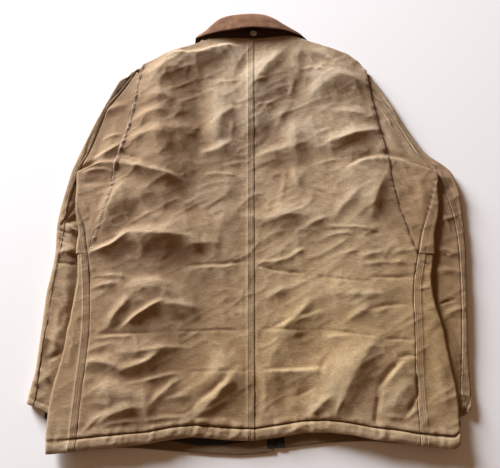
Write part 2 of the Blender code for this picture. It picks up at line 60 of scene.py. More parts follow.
# ---- sizes, millimetres
WALL = 4.0  # quilted duck
GRID = 2.6  # spacing of the points on cloth that shows
COARSE = 8.0  # and on cloth that lies underneath
EDGE = [0.0, 0.35, 1.0, 2.0]  # points near a cut edge, which is rounded
EDGE_ROUND = 2.0  # how far the rounding reaches in
EDGE_THINS = 0.93  # how far the wall closes up at its very edge
HEM_DEPTH = 20.0  # the stitching's distance from the back's hem
CUFF_HEM = 13.0  # and from a sleeve's end
LAP = 13.0  # a felled seam's lap
LAP_RISE = 1.2
LAP_ROWS = [2.6, 6.4, 10.2]  # the rows of stitching on a lap, from its seam
LAP_EDGES = [LAP, 0.6]  # the lines that wear pale
LAP_PLACES = [2.6, 3.6, 5.4, 6.4, 7.4, 9.2, 10.2, 11.2, 12.3, 13.1, 14.2]
UNDERARM = 325.0
PLEAT_TOP = 500.0  # the underarm's folds open out from here up
SLEEVE_INNER = 235.0  # the sleeve's hidden edge, under the body
UPPER_SIDE = 14.0  # what lies above this height is the upper layer

ACROSS, ALONG = 0, 1  # the two ways a solid can be cut
LEAST, MOST = 0, 1  # and the two ends of the cut
BEYOND = 1e3  # further than any part of the jacket
ABOVE = 100.0  # and higher than any, where the rays start


# ---- small tools
def smooth(t):
    """From 0 to 1, eased at both ends."""
    t = np.clip(t, 0.0, 1.0)
    return t * t * (3 - 2 * t)


def mix(a, b, t):
    """From a to b while t goes from 0 to 1."""
    return a + (b - a) * t


def ramp(at, start, end):
    """0 at start and beyond it, 1 at end."""
    return smooth((at - start) / (end - start))


def bell(away, wide):
    """1 in the middle, and falling off softly on both sides."""
    return np.exp(-(away / wide) ** 2)


def blur(values, reach, axis=0):
    """A soft average along one axis; reach is in points, and the ends hold their value."""
    span = max(1, int(3 * reach))
    weights = np.exp(-0.5 * (np.arange(-span, span + 1) / reach) ** 2)
    weights /= weights.sum()
    moved = np.moveaxis(values, axis, 0)
    padded = np.concatenate([np.repeat(moved[:1], span, 0), moved, np.repeat(moved[-1:], span, 0)])
    out = sum(w * padded[k:k + len(moved)] for k, w in enumerate(weights))
    return np.moveaxis(out, 0, axis)


def eased(values, reach):
    """A line along the jacket with its corners rounded, its ends kept in place."""
    line = np.asarray(values, float)
    trend = np.linspace(line[0], line[-1], len(line))
    return trend + blur(line - trend, reach)


def filled(at, line):
    """The line with its gaps filled from their neighbours."""
    line = np.asarray(line, float)
    good = ~np.isnan(line)
    return np.interp(at, np.asarray(at)[good], line[good])


def parts(count):
    """The ends of this many equal parts of 1."""
    return np.arange(1, count + 1) / count


def column(values):
    """One value for each of a grid's rows."""
    return np.asarray(values, float)[:, None]


def grid(x, y, z):
    """The grid of points that have these three coordinates."""
    return np.stack([x, y, z], axis=2)


def noise(x, y, size, seed):
    """Even, repeatable unevenness from about -1 to 1, with lumps of about this size."""
    def corner(i, j):
        value = np.sin(i * 127.1 + j * 311.7 + seed * 74.7) * 43758.5453
        return 2 * (value - np.floor(value)) - 1
    u, v = x / size, y / size
    i, j = np.floor(u), np.floor(v)
    s, t = smooth(u - i), smooth(v - j)
    low = mix(corner(i, j), corner(i + 1, j), s)
    high = mix(corner(i, j + 1), corner(i + 1, j + 1), s)
    return mix(low, high, t)


def ripple(at, size, seed):
    """Unevenness that changes one way only."""
    return noise(at, 0 * at, size, seed)


def lumps(x, y, size, seed):
    """Noise of this size and two finer ones, turned so that no grid shows."""
    total = 0.0
    for k, share in enumerate((0.6, 0.28, 0.12)):
        turn = 0.6 + 1.1 * k
        u = x * math.cos(turn) - y * math.sin(turn)
        v = x * math.sin(turn) + y * math.cos(turn)
        total = total + share * noise(u, v, size / 1.9 ** k, seed + 17 * k)
    return total


class Solid:
    """A CAD node in the jacket's own millimetres; side -1 turns the left over to the right."""

    def __init__(self, name, side=1):
        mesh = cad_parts[name].data
        mesh.calc_loop_triangles()
        flat = np.empty(3 * len(mesh.vertices))
        mesh.vertices.foreach_get("co", flat)
        points = (flat.reshape(-1, 3) - ORIGIN) / MM
        points[:, 0] *= side
        faces = np.empty(3 * len(mesh.loop_triangles), int)
        mesh.loop_triangles.foreach_get("vertices", faces)
        faces = faces.reshape(-1, 3)
        self.corners = points[faces]
        self.tree = BVHTree.FromPolygons(points.tolist(), faces.tolist())
        self.low, self.high = points.min(0), points.max(0)

    def cut(self, axis, at, low=-BEYOND, high=BEYOND):
        """Least and greatest reach across the plane axis = at, between two heights."""
        start, end = self.corners, np.roll(self.corners, -1, axis=1)
        before, after = start[..., axis] - at, end[..., axis] - at
        crosses = (before > 0) != (after > 0)
        share = column(before[crosses] / (before[crosses] - after[crosses]))
        points = start[crosses] + (end[crosses] - start[crosses]) * share
        points = points[(points[:, 2] > low) & (points[:, 2] < high)]
        if not len(points):
            return np.nan, np.nan
        return points[:, 1 - axis].min(), points[:, 1 - axis].max()

    def ends(self, across, which, **heights):
        """Where the solid starts or ends up the jacket, at each place across; gaps are nan."""
        return np.array([self.cut(ACROSS, at, **heights)[which] for at in across])

    def inner(self, up, **heights):
        """How near the solid comes to the centre seam at each place up the jacket."""
        return filled(up, [self.cut(ALONG, at, **heights)[LEAST] for at in up])

    def outer(self, up, **heights):
        """And how far out it goes."""
        return filled(up, [self.cut(ALONG, at, **heights)[MOST] for at in up])

    def surface(self, x, y, from_above=True):
        """Height of the solid's top, or of its underside, at each point; a point that misses
        the solid takes its neighbour's height."""
        start, way = (ABOVE, Vector((0, 0, -1))) if from_above else (-ABOVE, Vector((0, 0, 1)))
        out = np.full(x.size, np.nan)
        for k, (px, py) in enumerate(zip(x.ravel(), y.ravel())):
            hit = self.tree.ray_cast(Vector((px, py, start)), way)[0]
            if hit is not None:
                out[k] = hit.z
        out = out.reshape(x.shape)
        for row in out:
            good = ~np.isnan(row)
            if good.any() and not good.all():
                row[~good] = np.interp(np.flatnonzero(~good), np.flatnonzero(good), row[good])
        rows = np.isnan(out).any(axis=1)
        if rows.any():
            kept = np.flatnonzero(~rows)
            for k in np.flatnonzero(rows):
                out[k] = out[kept[np.abs(kept - k).argmin()]]
        return out

    def level(self, x, y, reach, from_above=True):
        """The surface's height along one line of points, smoothed."""
        return blur(self.surface(column(x), column(y), from_above)[:, 0], reach)


def steps(length, soft_end=True):
    """Places from 0 to length about GRID apart, closer together at a rounded edge."""
    tail = EDGE if soft_end else [0.0]
    inner = length - EDGE[-1] - tail[-1]
    count = max(1, round(inner / GRID))
    middle = EDGE[-1] + inner * np.arange(1, count) / count
    return np.concatenate([EDGE, middle, length - np.array(tail[::-1])])


def rounding(away):
    """How full the wall is this far from a rounded edge."""
    return np.sqrt(1 - EDGE_THINS * (1 - np.clip(away / EDGE_ROUND, 0, 1)) ** 2)


def edge_share(places):
    """How full the wall is at each place from one rounded edge to the other."""
    return rounding(np.minimum(places, places[-1] - places))


# ---- materials
class Finish:
    """A material while it is wired up."""

    def __init__(self, name, rough, metal=0.0, sheen=0.0):
        self.made = bpy.data.materials.new(name)
        self.made.use_nodes = True
        self.tree = self.made.node_tree
        self.shader = self.tree.nodes["Principled BSDF"]
        self.shader.inputs["Roughness"].default_value = rough
        self.shader.inputs["Metallic"].default_value = metal
        self.shader.inputs["Sheen Weight"].default_value = sheen
        self.shader.inputs["Sheen Roughness"].default_value = 0.6
        self.shader.inputs["Specular IOR Level"].default_value = 0.25
        self.place = self.node("TexCoord").outputs["Object"]

    def node(self, kind, **inputs):
        """A new node with some of its inputs fed; a space in a name is written as _."""
        made = self.tree.nodes.new("ShaderNode" + kind)
        for name, value in inputs.items():
            self.feed(made.inputs[name.replace("_", " ")], value)
        return made

    def feed(self, socket, value):
        """Gives a socket another node's output, or a plain value."""
        if isinstance(value, bpy.types.NodeSocket):
            self.tree.links.new(value, socket)
        else:
            socket.default_value = value

    def math(self, operation, first, second=0.0):
        """One step of arithmetic."""
        made = self.tree.nodes.new("ShaderNodeMath")
        made.operation = operation
        self.feed(made.inputs[0], first)
        self.feed(made.inputs[1], second)
        return made.outputs[0]

    def spread(self, value, low, high, start=0.0, end=1.0):
        """The value's stretch from low to high, eased into start to end."""
        made = self.node("MapRange", Value=value)
        made.interpolation_type = "SMOOTHSTEP"
        limits = {"From Min": low, "From Max": high, "To Min": start, "To Max": end}
        for name, number in limits.items():
            made.inputs[name].default_value = number
        return made.outputs["Result"]

    def stretched(self, turn, scale):
        """Places on the cloth, turned in its plane and scaled."""
        made = self.node("Mapping", Vector=self.place)
        made.inputs["Rotation"].default_value = (0, 0, turn)
        made.inputs["Scale"].default_value = scale
        return made.outputs["Vector"]

    def grain(self, size, detail=2.0, turn=0.0, along=1.0, rough=0.5):
        """Noise with lumps of this size in metres, drawn out along one direction."""
        where = self.stretched(turn, (1 / (size * along), 1 / size, 1 / size))
        made = self.node("TexNoise", Vector=where, Scale=1.0, Detail=detail, Roughness=rough)
        return made.outputs[0]

    def wave(self, period, turn=0.0, slack=0.0):
        """A sine across the cloth, from -1 to 1; slack is how far its lines wander."""
        made = self.node("SeparateXYZ", Vector=self.stretched(turn, (1, 1, 1)))
        across = made.outputs["X"]
        if slack:
            across = self.math("ADD", across, self.math("MULTIPLY", self.grain(0.02), slack))
        return self.math("SINE", self.math("MULTIPLY", across, 2 * math.pi / period))

    def field(self, name):
        """The numbers of this name that the mesh's points carry."""
        made = self.tree.nodes.new("ShaderNodeAttribute")
        made.attribute_name = name
        return made.outputs["Fac"]

    def blend(self, share, first, second, kind="MIX"):
        """This share of the second colour over the first."""
        made = self.tree.nodes.new("ShaderNodeMix")
        made.data_type = "RGBA"
        made.blend_type = kind
        self.feed(made.inputs[0], share)
        for socket, value in ((made.inputs[6], first), (made.inputs[7], second)):
            self.feed(socket, value if isinstance(value, bpy.types.NodeSocket) else (*value, 1))
        return made.outputs[2]

    def raised(self, height, depth, under=None):
        """A bump of this depth in metres, over another."""
        made = self.node("Bump", Height=height, Distance=depth)
        if under is not None:
            self.tree.links.new(under, made.inputs["Normal"])
        return made.outputs["Normal"]

    def done(self, colour, normal=None, rough=None):
        """The material, once its colour, bump and roughness are wired to the shader."""
        self.feed(self.shader.inputs["Base Color"], colour)
        if normal is not None:
            self.tree.links.new(normal, self.shader.inputs["Normal"])
        if rough is not None:
            self.tree.links.new(rough, self.shader.inputs["Roughness"])
        return self.made


def woven(finish, pitch, slack=0.0004):
    """The height of a plain weave whose threads are this far apart."""
    warp = finish.wave(2 * pitch, 0.0, slack)
    weft = finish.wave(2 * pitch, math.pi / 2, slack)
    return finish.math("MULTIPLY", warp, weft)


def canvas(name, deep, plain, pale):
    """Washed duck: paler where it stands proud and on worn edges, and darkened by painted shade in
    grooves, hollows and shadowed spots.
    """
    cloth = Finish(name, 0.96, sheen=0.02)
    fade_and_painted_shade = cloth.field("fade_and_painted_shade")
    worn = cloth.field("worn")
    painted_shade = cloth.field("painted_shade")
    yellow = cloth.field("yellow")

    patchy = cloth.grain(0.055, 4.0, rough=0.62)
    slubs = cloth.math("ADD", cloth.grain(0.0011, 2.0, 0.0, 14.0),
                       cloth.grain(0.0011, 2.0, math.pi / 2, 14.0))
    # the fading field also carries the tones' painted shade
    fade_with_painted_shade = cloth.math("ADD", cloth.spread(patchy, 0.3, 0.7, -0.13, 0.13), fade_and_painted_shade)
    fade_with_painted_shade = cloth.math("ADD", fade_with_painted_shade, cloth.spread(slubs, 0.7, 1.3, -0.3, 0.3))
    flecks = cloth.grain(0.0022, 2.0, rough=0.7)
    fade_with_painted_shade = cloth.math("ADD", fade_with_painted_shade, cloth.spread(flecks, 0.3, 0.7, -0.24, 0.24))
    colour = cloth.blend(cloth.spread(fade_with_painted_shade, 0.0, 0.5), deep, plain)
    colour = cloth.blend(cloth.spread(fade_with_painted_shade, 0.5, 1.0), colour, pale)
    colour = cloth.blend(cloth.math("MULTIPLY", yellow, 0.9), colour, (1.0, 0.93, 0.70), "MULTIPLY")
    frayed = cloth.math("MULTIPLY", worn, cloth.spread(cloth.grain(0.005, 3.0), 0.32, 0.62))
    colour = cloth.blend(frayed, colour, (0.56, 0.44, 0.33))
    spots = cloth.spread(cloth.grain(0.013, 2.0), 0.69, 0.77, 0.0, 0.35)
    colour = cloth.blend(spots, colour, (0.20, 0.115, 0.06))
    # painted shade: the cloth darkens toward this colour in sunk rows, grooves, hollows and under the
    # back
    colour = cloth.blend(painted_shade, colour, (0.075, 0.042, 0.024))

    weave = cloth.raised(woven(cloth, 0.0007), 0.00016)
    slub = cloth.raised(slubs, 0.0003, weave)
    rumple = cloth.raised(cloth.grain(0.010, 3.0, 0.4, 1.8, 0.6), 0.0006, slub)
    return cloth.done(colour, rumple)


def corduroy():
    """Fine needlecord whose wales run across the collar's fall."""
    cloth = Finish("corduroy", 0.95, sheen=0.1)
    wales = cloth.wave(0.0019, 0.0, 0.0012)
    rubbed = cloth.grain(0.016, 4.0, rough=0.6)
    colour = cloth.blend(cloth.spread(rubbed, 0.3, 0.7), (0.20, 0.086, 0.038), (0.345, 0.172, 0.083))
    # painted shade in the valleys between the wales
    valley = cloth.spread(wales, -1.0, 0.2, 0.42, 0.0)
    colour = cloth.blend(valley, colour, (0.10, 0.045, 0.024))
    colour = cloth.blend(cloth.field("worn"), colour, (0.34, 0.21, 0.115))
    # painted shade, if the piece carries any
    colour = cloth.blend(cloth.field("painted_shade"), colour, (0.06, 0.028, 0.016))
    ribs = cloth.raised(wales, 0.0004)
    nap = cloth.raised(cloth.grain(0.0008, 2.0), 0.0002, ribs)
    rumple = cloth.raised(cloth.grain(0.012, 3.0), 0.0012, nap)
    return cloth.done(colour, rumple)


def brown_duck_in_painted_shade():
    """The under collar's brown twill, made much darker by painted shade, the shade under the collar's
    fall.
    """
    cloth = Finish("under_collar", 0.9)
    patchy = cloth.grain(0.012, 3.0)
    # brown twill, and painted shade: the colour is darkened for the shade under the fall
    colour = cloth.blend(patchy, (0.035, 0.017, 0.011), (0.085, 0.045, 0.028))
    return cloth.done(colour, cloth.raised(woven(cloth, 0.0006), 0.00014))


def rib_knit():
    """The storm cuffs: black, with ribs along the arm."""
    cloth = Finish("rib_knit", 0.85, sheen=0.15)
    ribs = cloth.wave(0.0032, 0.0, 0.001)
    # painted shade in the ribs' valleys, lighter on their crests
    colour = cloth.blend(cloth.spread(ribs, -1.0, 0.6), (0.004, 0.004, 0.004), (0.022, 0.021, 0.022))
    loops = cloth.raised(cloth.wave(0.0016, math.pi / 2), 0.0002)
    return cloth.done(colour, cloth.raised(ribs, 0.0007, loops))


def nylon():
    """The lining: black, slightly glossy, with a close weave and soft quilting waves."""
    cloth = Finish("lining", 0.5, sheen=0.1)
    puffs = cloth.grain(0.03, 1.0)
    # painted shade: darker in the quilting's hollows, following the puffs' bump
    colour = cloth.blend(puffs, (0.006, 0.006, 0.007), (0.02, 0.02, 0.022))
    weave = cloth.raised(woven(cloth, 0.0003), 0.00004)
    return cloth.done(colour, cloth.raised(puffs, 0.002, weave))


def zip_tape():
    """Black tape with a slanting weave."""
    cloth = Finish("zip_tape", 0.8)
    twill = cloth.wave(0.0012, 0.7)
    colour = cloth.blend(cloth.spread(twill, -1.0, 1.0), (0.012, 0.01, 0.009), (0.04, 0.034, 0.03))
    return cloth.done(colour, cloth.raised(twill, 0.0002))


def steel(name, bright, dull):
    """Metal whose gloss is broken by fine scratches and tarnish."""
    metal = Finish(name, 0.3, metal=1.0)
    tarnish = metal.grain(0.003, 3.0)
    colour = metal.blend(metal.spread(tarnish, 0.35, 0.65), bright, dull)
    rough = metal.spread(tarnish, 0.3, 0.7, 0.22, 0.5)
    return metal.done(colour, metal.raised(metal.grain(0.0006, 2.0), 0.00004), rough)


def thread(name, deep, pale):
    """Sewing thread, with painted shade where its twist dips."""
    cloth = Finish(name, 0.75)
    twist = cloth.wave(0.0009, 0.8)
    shade = cloth.blend(cloth.grain(0.03), deep, pale)
    colour = cloth.blend(cloth.spread(twist, -1.0, 1.0, 0.0, 0.35), shade, (0.10, 0.055, 0.03))
    return cloth.done(colour, cloth.raised(twist, 0.0001))


def pale_floor():
    """The nearly white surface under the jacket."""
    ground = Finish("pale_floor", 0.8)
    colour = ground.blend(ground.grain(0.4), (0.93, 0.93, 0.93), (0.95, 0.95, 0.95))
    return ground.done(colour)


CANVAS = canvas("canvas", (0.331, 0.217, 0.124), (0.412, 0.298, 0.184), (0.488, 0.388, 0.27))
CORDUROY = corduroy()
BROWN_IN_PAINTED_SHADE = brown_duck_in_painted_shade()
KNIT = rib_knit()
LINING = nylon()
TAPE = zip_tape()
STEEL = steel("snap_steel", (0.62, 0.60, 0.55), (0.36, 0.31, 0.24))
THREAD = thread("thread", (0.21, 0.125, 0.065), (0.36, 0.24, 0.14))
DARK_THREAD = thread("dark_thread", (0.085, 0.046, 0.024), (0.17, 0.095, 0.052))


# ---- meshes
PIECES = []  # all the cloth that stitches can lie on
SHARP_ANGLE = 1.1  # edges that turn more than this stay sharp, radians


def wall_mesh(name, finish, form, middle, thick, side=1, keep=None):
    """A closed wall about a grid of middle points, thick[i, j] from face to face; form is
    the same grid without its creases, and says which way the faces look.  keep says which
    of the grid's squares are there.  Also returns which of the points were used."""
    tall, wide = middle.shape[:2]
    normal = np.cross(np.gradient(form, axis=1), np.gradient(form, axis=0))
    length = np.linalg.norm(normal, axis=2, keepdims=True)
    half = (thick / 2)[..., None] * normal / np.maximum(length, 1e-9)
    points = np.concatenate([(middle + half).reshape(-1, 3), (middle - half).reshape(-1, 3)])
    i, j = np.meshgrid(np.arange(tall - 1), np.arange(wide - 1), indexing="ij")
    shown = np.ones(i.shape, bool) if keep is None else keep
    corner = (i * wide + j)[shown]
    top = np.stack([corner, corner + 1, corner + wide + 1, corner + wide], axis=1)
    size = tall * wide
    edges = np.concatenate([top[:, [k, (k + 1) % 4]] for k in range(4)])
    there = edges[:, 0] * size + edges[:, 1]
    back_again = edges[:, 1] * size + edges[:, 0]
    rim = edges[~np.isin(there, back_again)]
    rim_faces = np.stack([rim[:, 1], rim[:, 0], rim[:, 0] + size, rim[:, 1] + size], axis=1)
    faces = np.concatenate([top, top[:, ::-1] + size, rim_faces])
    used = np.unique(faces)
    number = np.zeros(2 * size, int)
    number[used] = np.arange(len(used))
    points[:, 0] *= side
    if side < 0:
        faces = faces[:, ::-1]
    return new_piece(name, points[used], number[faces], finish), used


def new_piece(name, points, faces, finish):
    """An object of quads from points in the jacket's own millimetres."""
    mesh = bpy.data.meshes.new(name)
    mesh.vertices.add(len(points))
    mesh.vertices.foreach_set("co", (points * MM + ORIGIN).ravel())
    corners = faces.shape[1]
    mesh.loops.add(faces.size)
    mesh.loops.foreach_set("vertex_index", faces.ravel())
    mesh.polygons.add(len(faces))
    mesh.polygons.foreach_set("loop_start", np.arange(0, faces.size, corners))
    mesh.polygons.foreach_set("loop_total", np.full(len(faces), corners))
    mesh.update(calc_edges=True)
    mesh.validate()
    mesh.shade_smooth()
    piece = bpy.data.objects.new(name, mesh)
    bpy.context.scene.collection.objects.link(piece)
    mesh.materials.append(finish)
    PIECES.append(piece)
    return piece


def paint(piece, used, **fields):
    """Gives each point of the piece its numbers for the material to read."""
    size = next(iter(fields.values())).size
    for name, field in fields.items():
        layer = piece.data.attributes.new(name, "FLOAT", "POINT")
        layer.data.foreach_set("value", field.ravel()[used % size].astype(np.float32))


def smooth_copy(node, name, finish, levels):
    """The CAD node's own mesh, its facets rounded by subdivision."""
    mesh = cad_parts[node].data.copy()
    mesh.materials.clear()
    mesh.materials.append(finish)
    piece = bpy.data.objects.new(name, mesh)
    bpy.context.scene.collection.objects.link(piece)

    shape = bmesh.new()
    shape.from_mesh(mesh)
    bmesh.ops.remove_doubles(shape, verts=shape.verts, dist=1e-5)
    bmesh.ops.join_triangles(shape, faces=shape.faces, cmp_seam=False, cmp_sharp=False,
                             cmp_uvs=False, cmp_vcols=False, cmp_materials=False,
                             angle_face_threshold=0.7, angle_shape_threshold=0.9)
    crease = shape.edges.layers.float.new("crease_edge")
    for edge in shape.edges:
        if edge.is_manifold and edge.calc_face_angle() > SHARP_ANGLE:
            edge[crease] = 1.0
    shape.to_mesh(mesh)
    shape.free()
    rounded = piece.modifiers.new("rounded", "SUBSURF")
    rounded.levels = rounded.render_levels = levels
    mesh.shade_smooth()
    PIECES.append(piece)
    return piece


def declare(piece, node):
    """Hides the CAD node that a piece of cloth stands for, and hangs the piece from the root."""
    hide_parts(node)
    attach(piece, "root")


